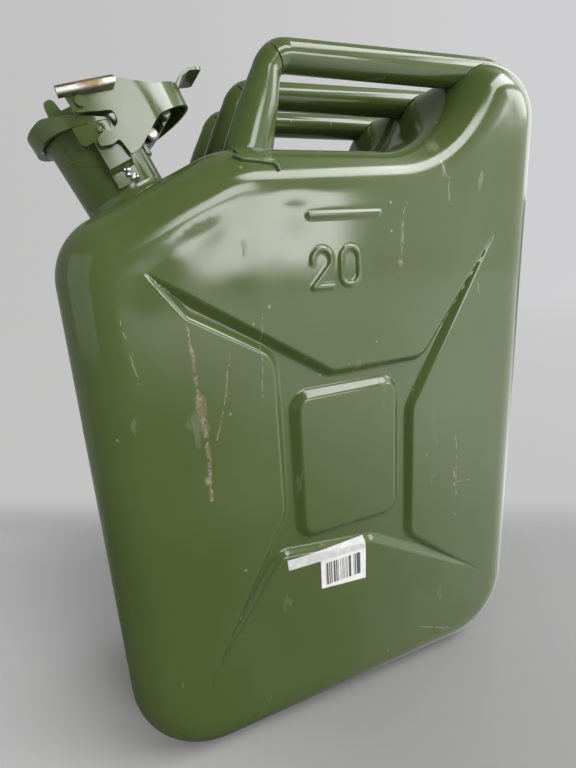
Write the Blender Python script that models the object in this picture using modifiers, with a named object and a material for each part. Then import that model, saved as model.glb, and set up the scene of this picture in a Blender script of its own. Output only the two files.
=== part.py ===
"""A 20 litre pressed-steel fuel can with three handles and a lever closure.

The can stands on its base: X runs along its width with the spout at -X, Y along its depth
with the front face at -Y, and Z is up. The origin is the middle of the base.

The closure is modelled in the frame of the neck, an empty at the foot of the spout whose Z is
the spout's axis. There, u runs towards the handles, v along the can's depth, w up the spout.
"""

import math

import bmesh
import bpy
from mathutils import Matrix, Vector

# Fits
FIT_GAP = 0.0003
CUT_OVERRUN = 0.004
MERGE_DISTANCE = 0.000002

# Body outline, seen from the front
BODY_WIDTH = 0.345
BODY_DEPTH = 0.165
HUMP_HEIGHT = 0.474
RECESS_DEPTH = 0.0565
SHOULDER_DROP = 0.0471
SHOULDER_ANGLE = math.radians(25)
HUMP_ANGLE = math.radians(60)
HUMP_FOOT_INSET = 0.091
BASE_CORNER_RADIUS = 0.063
SHOULDER_CORNER_RADIUS = 0.039
HUMP_CORNER_RADIUS = 0.041
HUMP_CREST_RADIUS = 0.026
RECESS_BEND_RADIUS = 0.068
FACE_EDGE_RADIUS = 0.0275
SHEET_THICKNESS = 0.001
OUTLINE_STEP = math.radians(10)
FACE_EDGE_STEPS = 5

# Channel in which the seam between the two shells lies
SEAM_HALF_WIDTH = 0.009
SEAM_DEPTH = 0.0035
SEAM_SLOPE = 0.003

# Pressing of the faces: an X-shaped channel round a raised panel. Corners are shares of the
# body's width and of the recess height, and of the bend radius of the channel.
CHANNEL_DEPTH = 0.005
CHANNEL_SLOPE = 0.0048
CHANNEL_BEND_RADIUS = 0.012
CHANNEL_CORNER_SHARES = (
    (-0.365, 0.838, 0.0),
    (-0.310, 0.775, 0.5),
    (-0.158, 0.702, 1.4),
    (-0.158, 0.443, 2.0),
    (-0.365, 0.139, 0.0),
    (-0.172, 0.359, 1.0),
    (0.052, 0.335, 1.0),
    (0.374, 0.184, 0.0),
    (0.160, 0.325, 0.9),
    (0.160, 0.575, 1.2),
    (0.371, 0.867, 0.0),
    (0.180, 0.670, 1.0),
    (-0.035, 0.668, 1.0),
)
PANEL_WIDTH_SHARE = 0.2551
PANEL_BOTTOM_SHARE = 0.3760
PANEL_TOP_SHARE = 0.6419
PANEL_CORNER_RADIUS = 0.014
PANEL_SLOPE = 0.0058
PANEL_SINK = 0.0005

# Plain pressed bar near the top of the front face
BAR_LENGTH = 0.054
BAR_RADIUS = 0.0022
BAR_DROP = 0.042
BAR_PROUD = 0.0014

# Handles
HANDLE_SPACING = 0.056
HANDLE_RISE = 0.0054
HANDLE_RADIUS = 0.0103
HANDLE_WALL = 0.0012
HANDLE_FOOT_INSET = 0.1228
HANDLE_LEAN = 0.0179
HANDLE_BEND_RADIUS = 0.014
HANDLE_BORE_INSET = 0.0745
HANDLE_CUT_INSET = 0.0465
HANDLE_END_INSET = 0.0255
HANDLE_END_ANGLE = math.radians(24)
HANDLE_BEND_SHARE = 0.88
HANDLE_FOOT_FLARE_SHARE = 1.5
HANDLE_FOOT_SQUASH_SHARE = 0.66
HANDLE_SLIT_WIDTH = 0.0009
HANDLE_SLIT_LENGTH = 0.0155
HANDLE_SLIT_LEAN = math.radians(32)
BEND_STEPS = 6

# Neck, from the shoulder up
NECK_INSET = 0.0557
NECK_RADIUS = 0.028
NECK_WALL = 0.0015
NECK_DIP = 0.004
MOUTH_HEIGHT = 0.050
RIM_RADIUS = 0.0305
RIM_HEIGHT = 0.0013
ROUND_STEPS = 40

# Vent tube inside the neck
VENT_RADIUS = 0.004
VENT_WALL = 0.0008
VENT_TOP_DROP = 0.007
VENT_TURN_DEPTH = 0.0165
VENT_REACH = 0.048

# Cam ring round the mouth
RING_RADIUS = 0.0355
RING_WALL = 0.003
RING_LIFT = 0.0004
RING_BAND = 0.0099
RAMP_TIP_U = 0.009
RAMP_TIP_DROP = 0.0071
RAMP_TIP_THICKNESS = 0.0008
RAMP_TOP_U = -0.0255
RAMP_BEND_RADIUS = 0.008

# Straps between the neck and the ramp ends
STRAP_WIDTH = 0.0155
STRAP_THICKNESS = 0.002
STRAP_U = 0.0014
STRAP_FOOT_DROP = 0.0408
STRAP_JOGGLE_LOW_DROP = 0.0325
STRAP_JOGGLE_HIGH_DROP = 0.0295
HEAD_LEFT_U = -0.0132
HEAD_RIGHT_U = 0.0088
HEAD_DROP = 0.0140
HEAD_CORNER_RADIUS = 0.003

# Hinge bracket, link and their pins
LINK_AXIS_U = 0.0338
LINK_AXIS_DROP = 0.0195
LEVER_AXIS_U = 0.0448
LEVER_AXIS_DROP = 0.0147
EYE_RADIUS = 0.0036
BRACKET_KNUCKLE_HALF = 0.0085
BRACKET_PLATE = 0.0018
BRACKET_LOW_DROP = 0.0285
BRACKET_HIGH_DROP = 0.0125
BRACKET_HALF_WIDTH = 0.014
LINK_HALF_WIDTH = 0.0205
LINK_FOOT_HALF_WIDTH = 0.0145
LINK_LEAF = 0.0019
HINGE_PLAY = 0.0008
PIN_RADIUS = 0.0019
PIN_HEAD_RADIUS = 0.0028
PIN_HEAD_HEIGHT = 0.0008

# Lever, in places measured from the plane of the mouth
CHEEK_GAP = 0.0013
LEVER_SHEET = 0.002
LEVER_BACK_U = 0.0668
LEVER_DECK_U = 0.0395
LEVER_CORNERS_AT_MOUTH = (
    (-0.0083, 0.0019, 0.0035),
    (0.0122, -0.0050, 0.0030),
    (0.0114, -0.0114, 0.0030),
    (0.0046, -0.0142, 0.0005),
    (0.0029, -0.0114, 0.0006),
    (-0.0044, -0.0143, 0.0008),
    (-0.0050, -0.0182, 0.0014),
    (0.0016, -0.0200, 0.0050),
    (0.0071, -0.0189, 0.0020),
    (0.0089, -0.0291, 0.0012),
    (0.0159, -0.0281, 0.0060),
    (0.0255, -0.0229, 0.0200),
    (0.0362, -0.0168, 0.0040),
    (0.0685, -0.0155, 0.0000),
    (0.0685, -0.0026, 0.0000),
    (0.0410, -0.0017, 0.0120),
    (0.0216, 0.0087, 0.0200),
    (-0.0083, 0.0150, 0.0030),
)
LEVER_KNEE = 15
TAB_WIDTH = 0.028
TAB_SHEET = 0.0019
TAB_PATH_AT_MOUTH = (
    (0.0560, -0.0033),
    (0.0630, -0.0034),
    (0.0665, -0.0008),
    (0.0700, 0.0020),
    (0.0765, 0.0030),
    (0.0845, 0.0005),
)
TAB_ROUNDING = 0.006

# Bare strips on the arms of the lever
EDGE_STRIP_WIDTH = 0.0045
EDGE_STRIP_HEIGHT = 0.0054
EDGE_STRIP_ROUNDING = 0.0021
EDGE_STRIP_LIFT = 0.0004
EDGE_STRIP_START_U = -0.0122
EDGE_STRIP_END_U = 0.0203

# Lid, its bracket and the pin that carries it
LID_AXIS_U = -0.0024
LID_AXIS_LIFT = 0.0032
CROSS_PIN_RADIUS = 0.0018
CROSS_PIN_HEAD_RADIUS = 0.0029
CROSS_PIN_HEAD_HEIGHT = 0.0016
LID_RADIUS = 0.0312
LID_SHEET = 0.001
LID_DISH_RADIUS = 0.0215
LID_DISH_SLOPE = 0.0015
LID_SKIRT_GAP = 0.0006
GASKET_THICKNESS = 0.0015
LID_DISH_DEPTH = 0.0026
YOKE_HALF_WIDTH = 0.0125
YOKE_SHEET = 0.0016
YOKE_EAR_RADIUS = 0.0044
YOKE_LENGTH = 0.026
GUIDE_HALF_WIDTH = 0.0225
GUIDE_SHEET = 0.0012
GUIDE_LEFT_U = -0.0205
GUIDE_RIGHT_U = -0.0052
GUIDE_NOTCH_U = -0.0152
GUIDE_NOTCH_HALF = 0.0146
GUIDE_EDGE_RISE = 0.0103
LUG_LEFT_U = -0.0198
LUG_RIGHT_U = -0.0112
LUG_RISE = 0.0176
LUG_TAPER = 0.0012
LID_RIVET_U = 0.0085
LID_RIVET_RADIUS = 0.0018
LID_RIVET_HEAD_RADIUS = 0.0030
LID_RIVET_HEAD_HEIGHT = 0.0011

# Derived sizes
CHEEK_INNER_V = RING_RADIUS + CHEEK_GAP
CHEEK_OUTER_V = CHEEK_INNER_V + LEVER_SHEET
RIGHT_SIDE = BODY_WIDTH / 2
RECESS_HEIGHT = HUMP_HEIGHT - RECESS_DEPTH
SHOULDER_EDGE_HEIGHT = RECESS_HEIGHT - SHOULDER_DROP
SHOULDER_TOP_AT_NECK = SHOULDER_EDGE_HEIGHT + NECK_INSET * math.tan(SHOULDER_ANGLE)
HANDLE_TOP = HUMP_HEIGHT + HANDLE_RISE
GASKET_BOTTOM = MOUTH_HEIGHT + FIT_GAP
LID_SEAT = GASKET_BOTTOM + GASKET_THICKNESS + FIT_GAP
LID_DISH_TOP = LID_SEAT + LID_SHEET - LID_DISH_DEPTH
LID_AXIS_W = LID_SEAT + LID_AXIS_LIFT
HANDLE_AXIS_HEIGHT = HANDLE_TOP - HANDLE_RADIUS

# Derived heights of the closure, which rises with the mouth
VENT_TOP = MOUTH_HEIGHT - VENT_TOP_DROP
RING_LOW = MOUTH_HEIGHT + RING_LIFT
RING_HIGH = RING_LOW + RING_BAND
RAMP_TIP_LOW = MOUTH_HEIGHT - RAMP_TIP_DROP
RAMP_TIP_HIGH = RAMP_TIP_LOW + RAMP_TIP_THICKNESS
STRAP_FOOT = MOUTH_HEIGHT - STRAP_FOOT_DROP
STRAP_JOGGLE_LOW = MOUTH_HEIGHT - STRAP_JOGGLE_LOW_DROP
STRAP_JOGGLE_HIGH = MOUTH_HEIGHT - STRAP_JOGGLE_HIGH_DROP
HEAD_LOW = MOUTH_HEIGHT - HEAD_DROP
LINK_AXIS_W = MOUTH_HEIGHT - LINK_AXIS_DROP
LEVER_AXIS_W = MOUTH_HEIGHT - LEVER_AXIS_DROP
BRACKET_LOW = MOUTH_HEIGHT - BRACKET_LOW_DROP
BRACKET_HIGH = MOUTH_HEIGHT - BRACKET_HIGH_DROP
GUIDE_LOW_EDGE = MOUTH_HEIGHT + GUIDE_EDGE_RISE
LUG_TOP = MOUTH_HEIGHT + LUG_RISE
LEVER_CORNERS = tuple((u, MOUTH_HEIGHT + w, radius) for u, w, radius in LEVER_CORNERS_AT_MOUTH)
TAB_PATH = tuple((u, MOUTH_HEIGHT + w) for u, w in TAB_PATH_AT_MOUTH)

GREEN = (0.075, 0.105, 0.035, 1.0)
BARE_STEEL = (0.60, 0.58, 0.53, 1.0)
RUBBER = (0.02, 0.02, 0.02, 1.0)


def clear_scene():
    """Remove every object of the scene."""
    for obj in list(bpy.data.objects):
        bpy.data.objects.remove(obj, do_unlink=True)


def new_collection(name, hidden):
    """Return a collection linked to the scene."""
    collection = bpy.data.collections.new(name)
    bpy.context.scene.collection.children.link(collection)
    collection.hide_render = hidden
    return collection


def material(name, colour, roughness, metallic):
    """Return a Principled material."""
    result = bpy.data.materials.new(name)
    result.use_nodes = True
    shader = result.node_tree.nodes["Principled BSDF"]
    shader.inputs["Base Color"].default_value = colour
    shader.inputs["Roughness"].default_value = roughness
    shader.inputs["Metallic"].default_value = metallic
    return result


def add_object(name, mesh, collection):
    """Link a new object that holds the mesh."""
    obj = bpy.data.objects.new(name, mesh)
    collection.objects.link(obj)
    return obj


def mesh_from(bm, name):
    """Turn a bmesh into mesh data and free it."""
    bmesh.ops.recalc_face_normals(bm, faces=bm.faces)
    mesh = bpy.data.meshes.new(name)
    bm.to_mesh(mesh)
    bm.free()
    return mesh


def bake(obj):
    """Replace the object's data by its evaluated mesh, with doubled points welded."""
    bpy.context.view_layer.update()
    graph = bpy.context.evaluated_depsgraph_get()
    mesh = bpy.data.meshes.new_from_object(obj.evaluated_get(graph))
    bm = bmesh.new()
    bm.from_mesh(mesh)
    bmesh.ops.remove_doubles(bm, verts=bm.verts, dist=MERGE_DISTANCE)
    bm.to_mesh(mesh)
    bm.free()
    if obj.type == "MESH":
        obj.modifiers.clear()
        obj.data = mesh
        return obj
    baked = bpy.data.objects.new(obj.name, mesh)
    obj.users_collection[0].objects.link(baked)
    baked.parent = obj.parent
    baked.matrix_world = obj.matrix_world
    name = obj.name
    bpy.data.objects.remove(obj, do_unlink=True)
    baked.name = name
    return baked


def hide_cutter(obj):
    """Keep a helper out of the model."""
    obj.hide_render = True
    obj.display_type = "WIRE"
    for collection in list(obj.users_collection):
        collection.objects.unlink(obj)
    CUTTERS.objects.link(obj)


def combine(obj, other, operation):
    """Join, cut or intersect an object with another one, which then only serves as a helper."""
    modifier = obj.modifiers.new(f"{operation.title()} {other.name}", "BOOLEAN")
    modifier.operation = operation
    modifier.solver = "EXACT"
    modifier.object = other
    hide_cutter(other)
    return obj


def rounded_outline(corners, inset=0.0):
    """Return the points of a polygon with round corners, seen counter-clockwise.

    Each corner is (x, y, radius). An inset moves every side inwards, and the arcs follow it.
    """
    points = [Vector(corner[:2]) for corner in corners]
    radii = [corner[2] for corner in corners]
    count = len(points)
    area = sum(points[i - 1].cross(points[i]) for i in range(count))
    side = 1.0 if area > 0 else -1.0
    outline = []
    for i in range(count):
        before, here, after = points[i - 1], points[i], points[(i + 1) % count]
        into, out_of = (here - before).normalized(), (after - here).normalized()
        turn = into.cross(out_of) * side
        angle = into.angle(out_of, 0.0)
        left_in = Vector((-into.y, into.x)) * side
        left_out = Vector((-out_of.y, out_of.x)) * side
        bisector = (left_in + left_out).normalized()
        corner = here + bisector * (inset / max(bisector.dot(left_in), 0.01))
        radius = max(radii[i] - inset, 0.0) if turn > 0 else radii[i] + inset
        if radii[i] == 0.0 or angle < OUTLINE_STEP / 4:
            outline.append(corner)
            continue
        reach = radius * math.tan(angle / 2)
        inward = 1.0 if turn > 0 else -1.0
        centre = corner - into * reach + left_in * radius * inward
        start = (corner - into * reach) - centre
        steps = max(2, math.ceil(angle / OUTLINE_STEP))
        for step in range(steps + 1):
            swing = angle * step / steps * inward * side
            outline.append(centre + Matrix.Rotation(swing, 2) @ start)
    return outline


def body_corners():
    """Return the corners of the body's outline, counter-clockwise from the base at -X."""
    half = RIGHT_SIDE
    foot_x = half - HUMP_FOOT_INSET
    slope_run = SHOULDER_DROP / math.tan(SHOULDER_ANGLE)
    crest_x = foot_x + RECESS_DEPTH / math.tan(HUMP_ANGLE)
    return (
        (-half, 0.0, BASE_CORNER_RADIUS),
        (half, 0.0, BASE_CORNER_RADIUS),
        (half, HUMP_HEIGHT, HUMP_CORNER_RADIUS),
        (crest_x, HUMP_HEIGHT, HUMP_CREST_RADIUS),
        (foot_x, RECESS_HEIGHT, RECESS_BEND_RADIUS),
        (slope_run - half, RECESS_HEIGHT, RECESS_BEND_RADIUS),
        (-half, SHOULDER_EDGE_HEIGHT, SHOULDER_CORNER_RADIUS),
    )


def body_section(depth, inset):
    """Return one section of the body, at a depth behind the front face's side of the can."""
    return [Vector((p.x, -depth, p.y)) for p in rounded_outline(body_corners(), inset)]


def front_sections(grow=0.0, start=0.0):
    """Return the sections of the front half, from mid depth to the face."""
    flat = BODY_DEPTH / 2 - FACE_EDGE_RADIUS
    sections = [
        body_section(start, SEAM_DEPTH - grow),
        body_section(SEAM_HALF_WIDTH - SEAM_SLOPE, SEAM_DEPTH - grow),
        body_section(SEAM_HALF_WIDTH, -grow),
    ]
    for step in range(FACE_EDGE_STEPS + 1):
        angle = math.pi / 2 * step / FACE_EDGE_STEPS
        radius = FACE_EDGE_RADIUS + grow
        inset = FACE_EDGE_RADIUS - radius * math.cos(angle)
        sections.append(body_section(flat + radius * math.sin(angle), inset))
    return sections


def loft(name, sections, collection):
    """Extrude a closed section through the following ones and cap both ends."""
    bm = bmesh.new()
    ring = [bm.verts.new(point) for point in sections[0]]
    bm.faces.new(ring)
    for section in sections[1:]:
        edges = [bm.edges.get((ring[i - 1], ring[i])) for i in range(len(ring))]
        made = bmesh.ops.extrude_edge_only(bm, edges=edges)["geom"]
        fresh = {item for item in made if isinstance(item, bmesh.types.BMVert)}
        following = []
        for vert, point in zip(ring, section):
            twin = next(e.other_vert(vert) for e in vert.link_edges if e.other_vert(vert) in fresh)
            following.append((twin, point))
        for twin, point in following:
            twin.co = point
        ring = [twin for twin, _ in following]
    bm.faces.new(ring)
    return add_object(name, mesh_from(bm, name), collection)


def plate(name, outlines, thickness, collection, upright=True):
    """Return a flat plate as a mesh object.

    The outline lies in the X-Z plane with its thickness along Y, or flat in the X-Y plane.
    """
    curve = bpy.data.curves.new(name, "CURVE")
    curve.dimensions = "2D"
    curve.fill_mode = "BOTH"
    curve.extrude = thickness / 2
    for outline in outlines:
        spline = curve.splines.new("POLY")
        spline.points.add(len(outline) - 1)
        for point, place in zip(spline.points, outline):
            point.co = (place[0], place[1], 0.0, 1.0)
        spline.use_cyclic_u = True
    obj = bake(add_object(name, curve, collection))
    if upright:
        obj.data.transform(Matrix.Rotation(math.pi / 2, 4, "X"))
    return obj


def disc(centre, radius, steps=ROUND_STEPS):
    """Return the points of a circle."""
    angles = [2 * math.pi * step / steps for step in range(steps)]
    return [(centre[0] + radius * math.cos(a), centre[1] + radius * math.sin(a)) for a in angles]


def turned(name, profile, collection, steps=ROUND_STEPS, closed=True):
    """Return a turned piece: the profile at +X runs top to bottom on its outer side."""
    mesh = bpy.data.meshes.new(name)
    edges = [(i, i + 1) for i in range(len(profile) - 1)]
    if closed:
        edges.append((len(profile) - 1, 0))
    mesh.from_pydata([(r, 0.0, z) for r, z in profile], edges, [])
    obj = add_object(name, mesh, collection)
    screw = obj.modifiers.new("Turn", "SCREW")
    screw.steps = steps
    screw.render_steps = steps
    screw.use_merge_vertices = True
    screw.merge_threshold = MERGE_DISTANCE
    return bake(obj)


def tube(name, path, radius, collection, radii=None, resolution=5):
    """Return a round bar along a path as a mesh object."""
    curve = bpy.data.curves.new(name, "CURVE")
    curve.dimensions = "3D"
    curve.bevel_depth = radius
    curve.bevel_resolution = resolution
    curve.use_fill_caps = True
    spline = curve.splines.new("POLY")
    spline.points.add(len(path) - 1)
    for index, place in enumerate(path):
        spline.points[index].co = (*place, 1.0)
        spline.points[index].radius = radii[index] if radii else 1.0
    return bake(add_object(name, curve, collection))


def arc_between(before, corner, after, radius, steps=BEND_STEPS):
    """Return the points of a bend of the given radius at a corner of a path."""
    into, out_of = (corner - before).normalized(), (after - corner).normalized()
    angle = into.angle(out_of)
    reach = radius * math.tan(angle / 2)
    start, end = corner - into * reach, corner + out_of * reach
    inward = (out_of - into).normalized()
    centre = corner + inward * (radius / math.cos(angle / 2))
    axis = into.cross(out_of).normalized()
    arm = start - centre
    points = [centre + Matrix.Rotation(angle * i / steps, 4, axis) @ arm for i in range(steps)]
    return points + [end]


def smooth(obj, angle=math.radians(35)):
    """Shade round faces smooth and keep the creases."""
    obj.data.shade_smooth()
    obj.data.set_sharp_from_angle(angle=angle)


def finish(obj, look, parent=None, origin=None):
    """Give a piece its material, its parent and an origin on its joint's axis."""
    obj.data.materials.clear()
    obj.data.materials.append(look)
    if origin is not None:
        obj.data.transform(Matrix.Translation(-Vector(origin)))
        obj.location = origin
    obj.parent = parent
    smooth(obj)
    return obj


def face_channel():
    """Return the cutter of the X-shaped channel, with the raised panel left standing."""
    corners = [
        (x * BODY_WIDTH, z * RECESS_HEIGHT, r * CHANNEL_BEND_RADIUS)
        for x, z, r in CHANNEL_CORNER_SHARES
    ]
    face = -BODY_DEPTH / 2
    sections = []
    for depth, inset in (
        (-CUT_OVERRUN, -CHANNEL_SLOPE * CUT_OVERRUN / CHANNEL_DEPTH),
        (CHANNEL_DEPTH, CHANNEL_SLOPE),
    ):
        outline = rounded_outline(corners, inset)
        sections.append([Vector((p.x, face + depth, p.y)) for p in outline])
    channel = loft("channel_cutter", sections, MODEL)
    half = PANEL_WIDTH_SHARE * BODY_WIDTH / 2
    bottom = PANEL_BOTTOM_SHARE * RECESS_HEIGHT
    top = PANEL_TOP_SHARE * RECESS_HEIGHT
    panel_corners = (
        (-half, bottom, PANEL_CORNER_RADIUS),
        (half, bottom, PANEL_CORNER_RADIUS),
        (half, top, PANEL_CORNER_RADIUS),
        (-half, top, PANEL_CORNER_RADIUS),
    )
    rise = CHANNEL_DEPTH - PANEL_SINK
    sections = []
    for depth, inset in (
        (PANEL_SINK, PANEL_SLOPE),
        (CHANNEL_DEPTH + CUT_OVERRUN, -PANEL_SLOPE * CUT_OVERRUN / rise),
    ):
        outline = rounded_outline(panel_corners, inset)
        sections.append([Vector((p.x, face + depth, p.y)) for p in outline])
    panel = loft("panel_block", sections, MODEL)
    combine(channel, panel, "DIFFERENCE")
    return bake(channel)


def mark_bar():
    """Return the plain pressed bar near the top of the face."""
    reach = BAR_LENGTH / 2 - BAR_RADIUS
    centre_y = -BODY_DEPTH / 2 + BAR_RADIUS - BAR_PROUD
    height = RECESS_HEIGHT - BAR_DROP
    path = [(-reach, centre_y, height), (reach, centre_y, height)]
    return tube("bar_form", path, BAR_RADIUS, MODEL)


def shell_surface(name, with_bar):
    """Return the open outer surface of the front half."""
    surface = loft(name, front_sections(start=FIT_GAP / 2), MODEL)
    combine(surface, face_channel(), "DIFFERENCE")
    bake(surface)
    if with_bar:
        combine(surface, mark_bar(), "UNION")
        bake(surface)
    bm = bmesh.new()
    bm.from_mesh(surface.data)
    middle = [f for f in bm.faces if all(abs(v.co.y) < FIT_GAP for v in f.verts)]
    bmesh.ops.delete(bm, geom=middle, context="FACES")
    bm.to_mesh(surface.data)
    bm.free()
    return surface


def solidify(obj, thickness):
    """Give an open surface its wall, on its inner side."""
    wall = obj.modifiers.new("Wall", "SOLIDIFY")
    wall.thickness = thickness
    wall.offset = -1.0
    wall.use_even_offset = True
    return bake(obj)


def neck_hole():
    """Return the cutter of the hole that the neck passes through."""
    hole = turned(
        "neck_hole",
        (
            (0.0, NECK_RADIUS),
            (NECK_RADIUS + FIT_GAP, NECK_RADIUS),
            (NECK_RADIUS + FIT_GAP, -NECK_RADIUS),
            (0.0, -NECK_RADIUS),
        ),
        MODEL,
        closed=False,
    )
    hole.parent = NECK_FRAME
    return hole


def build_shells():
    """Model the two pressed halves of the body."""
    for name, side in (("front_shell", 1), ("rear_shell", -1)):
        shell = shell_surface(name, with_bar=side > 0)
        solidify(shell, SHEET_THICKNESS)
        if side < 0:
            shell.data.transform(Matrix.Scale(-1, 4, (0, 1, 0)))
            shell.data.flip_normals()
        combine(shell, neck_hole(), "DIFFERENCE")
        bake(shell)
        finish(shell, PAINT)


def body_block(grow):
    """Return the whole body as one solid, larger by a gap, to seat pieces on it."""
    front = front_sections(grow)
    rear = [[Vector((p.x, -p.y, p.z)) for p in section] for section in front[1:]]
    return loft("body_block", list(reversed(rear)) + front, MODEL)


def handle_path(depth):
    """Return the points of a handle's axis and the radius factor at each."""
    foot = Vector((HANDLE_FOOT_INSET - RIGHT_SIDE, depth, RECESS_HEIGHT))
    corner = Vector((foot.x + HANDLE_LEAN, depth, HANDLE_AXIS_HEIGHT))
    down = (foot - corner).normalized()
    below = foot + down * HANDLE_RADIUS
    end = Vector((RIGHT_SIDE - HANDLE_END_INSET, depth, HANDLE_AXIS_HEIGHT))
    bend = arc_between(below, corner, end, HANDLE_BEND_RADIUS)
    middle = (foot + corner) / 2
    path = [below, foot, middle, *bend, end]
    flare, thin = HANDLE_FOOT_FLARE_SHARE, HANDLE_BEND_SHARE
    radii = [flare, flare, (flare + thin) / 2] + [thin] * len(bend) + [1.0]
    return path, radii


def squash_foot(obj, depth):
    """Flatten the flared foot of a handle towards the can's depth."""
    span = HANDLE_AXIS_HEIGHT - HANDLE_RADIUS - RECESS_HEIGHT
    for vert in obj.data.vertices:
        share = min(max((RECESS_HEIGHT + span - vert.co.z) / span, 0.0), 1.0)
        factor = 1 - share * (1 - HANDLE_FOOT_SQUASH_SHARE)
        vert.co.y = depth + (vert.co.y - depth) * factor


def build_handle(name, depth):
    """Model one tubular handle, seated on the body."""
    path, radii = handle_path(depth)
    handle = tube(name, path, HANDLE_RADIUS, MODEL, radii)
    squash_foot(handle, depth)
    bore_end = Vector((RIGHT_SIDE - HANDLE_BORE_INSET, depth, HANDLE_AXIS_HEIGHT))
    bore_path = [*path[:-1], bore_end]
    bore_path[0] = path[0] + (path[0] - path[1]).normalized() * HANDLE_RADIUS
    bore = tube(f"{name}_bore", bore_path, HANDLE_RADIUS - HANDLE_WALL, MODEL, radii)
    squash_foot(bore, depth)
    combine(handle, bore, "DIFFERENCE")

    length = HANDLE_RADIUS * 6
    end = add_box(f"{name}_end", (length, length, length))
    turn = Matrix.Rotation(HANDLE_END_ANGLE, 4, "Y")
    corner = Matrix.Translation((RIGHT_SIDE - HANDLE_CUT_INSET, depth, HANDLE_TOP))
    end.data.transform(corner @ turn @ Matrix.Translation((0, 0, length / 2)))
    combine(handle, end, "DIFFERENCE")

    bend_x = HANDLE_FOOT_INSET - RIGHT_SIDE + HANDLE_LEAN
    slit = add_box(f"{name}_slit", (HANDLE_SLIT_WIDTH, 3 * HANDLE_RADIUS, HANDLE_SLIT_LENGTH))
    mitre = Matrix.Rotation(-HANDLE_SLIT_LEAN, 4, "Y")
    inner = Matrix.Translation((0, 0, -HANDLE_SLIT_LENGTH / 2 + HANDLE_RADIUS / 3))
    bend = Matrix.Translation((bend_x, depth, HANDLE_AXIS_HEIGHT))
    slit.data.transform(bend @ mitre @ inner)
    combine(handle, slit, "DIFFERENCE")

    combine(handle, body_block(FIT_GAP), "DIFFERENCE")
    bake(handle)
    finish(handle, PAINT)


def add_box(name, size):
    """Return a box of the given size round the origin."""
    bm = bmesh.new()
    bmesh.ops.create_cube(bm, size=1.0)
    bmesh.ops.scale(bm, vec=size, verts=bm.verts)
    return add_object(name, mesh_from(bm, name), MODEL)


def build_neck():
    """Model the spout tube with its flared rim, and the vent tube in it."""
    bore = NECK_RADIUS - NECK_WALL
    flare = RIM_RADIUS - NECK_RADIUS
    neck = turned(
        "neck",
        (
            (bore, MOUTH_HEIGHT),
            (RIM_RADIUS, MOUTH_HEIGHT),
            (RIM_RADIUS, MOUTH_HEIGHT - RIM_HEIGHT),
            (NECK_RADIUS, MOUTH_HEIGHT - RIM_HEIGHT - flare / 2),
            (NECK_RADIUS, -NECK_DIP),
            (bore, -NECK_DIP),
        ),
        MODEL,
    )
    finish(neck, PAINT, NECK_FRAME)

    inner_u = bore - FIT_GAP - VENT_RADIUS
    top = Vector((inner_u, 0, VENT_TOP))
    turn = Vector((inner_u, 0, -VENT_TURN_DEPTH))
    end = Vector((VENT_REACH, 0, -VENT_TURN_DEPTH))
    path = [top, *arc_between(top, turn, end, 2 * VENT_RADIUS), end]
    vent = tube("vent_tube", path, VENT_RADIUS, MODEL, resolution=3)
    longer = [top + Vector((0, 0, CUT_OVERRUN)), *path[1:-1], end + Vector((CUT_OVERRUN, 0, 0))]
    bore = tube("vent_bore", longer, VENT_RADIUS - VENT_WALL, MODEL, resolution=3)
    combine(vent, bore, "DIFFERENCE")
    finish(bake(vent), STEEL, NECK_FRAME)


def build_cam_ring():
    """Model the cam ring: a turned band, cut to its two ramps as seen from the side."""
    inner = RING_RADIUS - RING_WALL
    ring = turned(
        "cam_ring",
        (
            (inner, RING_HIGH + CUT_OVERRUN),
            (RING_RADIUS, RING_HIGH + CUT_OVERRUN),
            (RING_RADIUS, RAMP_TIP_LOW - CUT_OVERRUN),
            (inner, RAMP_TIP_LOW - CUT_OVERRUN),
        ),
        MODEL,
    )
    left = -RING_RADIUS - CUT_OVERRUN
    corners = (
        (left, RING_LOW, 0.0),
        (RAMP_TOP_U, RING_LOW, RAMP_BEND_RADIUS),
        (RAMP_TIP_U, RAMP_TIP_LOW, 0.0),
        (RAMP_TIP_U, RAMP_TIP_HIGH, 0.0),
        (RAMP_TOP_U, RING_HIGH, RAMP_BEND_RADIUS),
        (left, RING_HIGH, 0.0),
    )
    side = plate("ring_side", [rounded_outline(corners)], 3 * RING_RADIUS, MODEL)
    combine(ring, side, "INTERSECT")
    finish(bake(ring), PAINT, NECK_FRAME)


def ramp_low_at(u):
    """Return the height of the ring's lower edge along the ramp."""
    share = (RAMP_TIP_U - u) / (RAMP_TIP_U - RAMP_TOP_U)
    return RAMP_TIP_LOW + (RING_LOW - RAMP_TIP_LOW) * share


def strip_outline(path, thickness):
    """Return the outline of a bent strip whose middle line is the path."""
    points = [Vector(p) for p in path]
    left, right = [], []
    for i, point in enumerate(points):
        into = (point - points[i - 1]).normalized() if i else None
        out_of = (points[i + 1] - point).normalized() if i + 1 < len(points) else None
        into, out_of = into or out_of, out_of or into
        normal = (Vector((-into.y, into.x)) + Vector((-out_of.y, out_of.x))).normalized()
        reach = thickness / 2 / normal.dot(Vector((-into.y, into.x)))
        left.append(point + normal * reach)
        right.append(point - normal * reach)
    return left + right[::-1]


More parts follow.
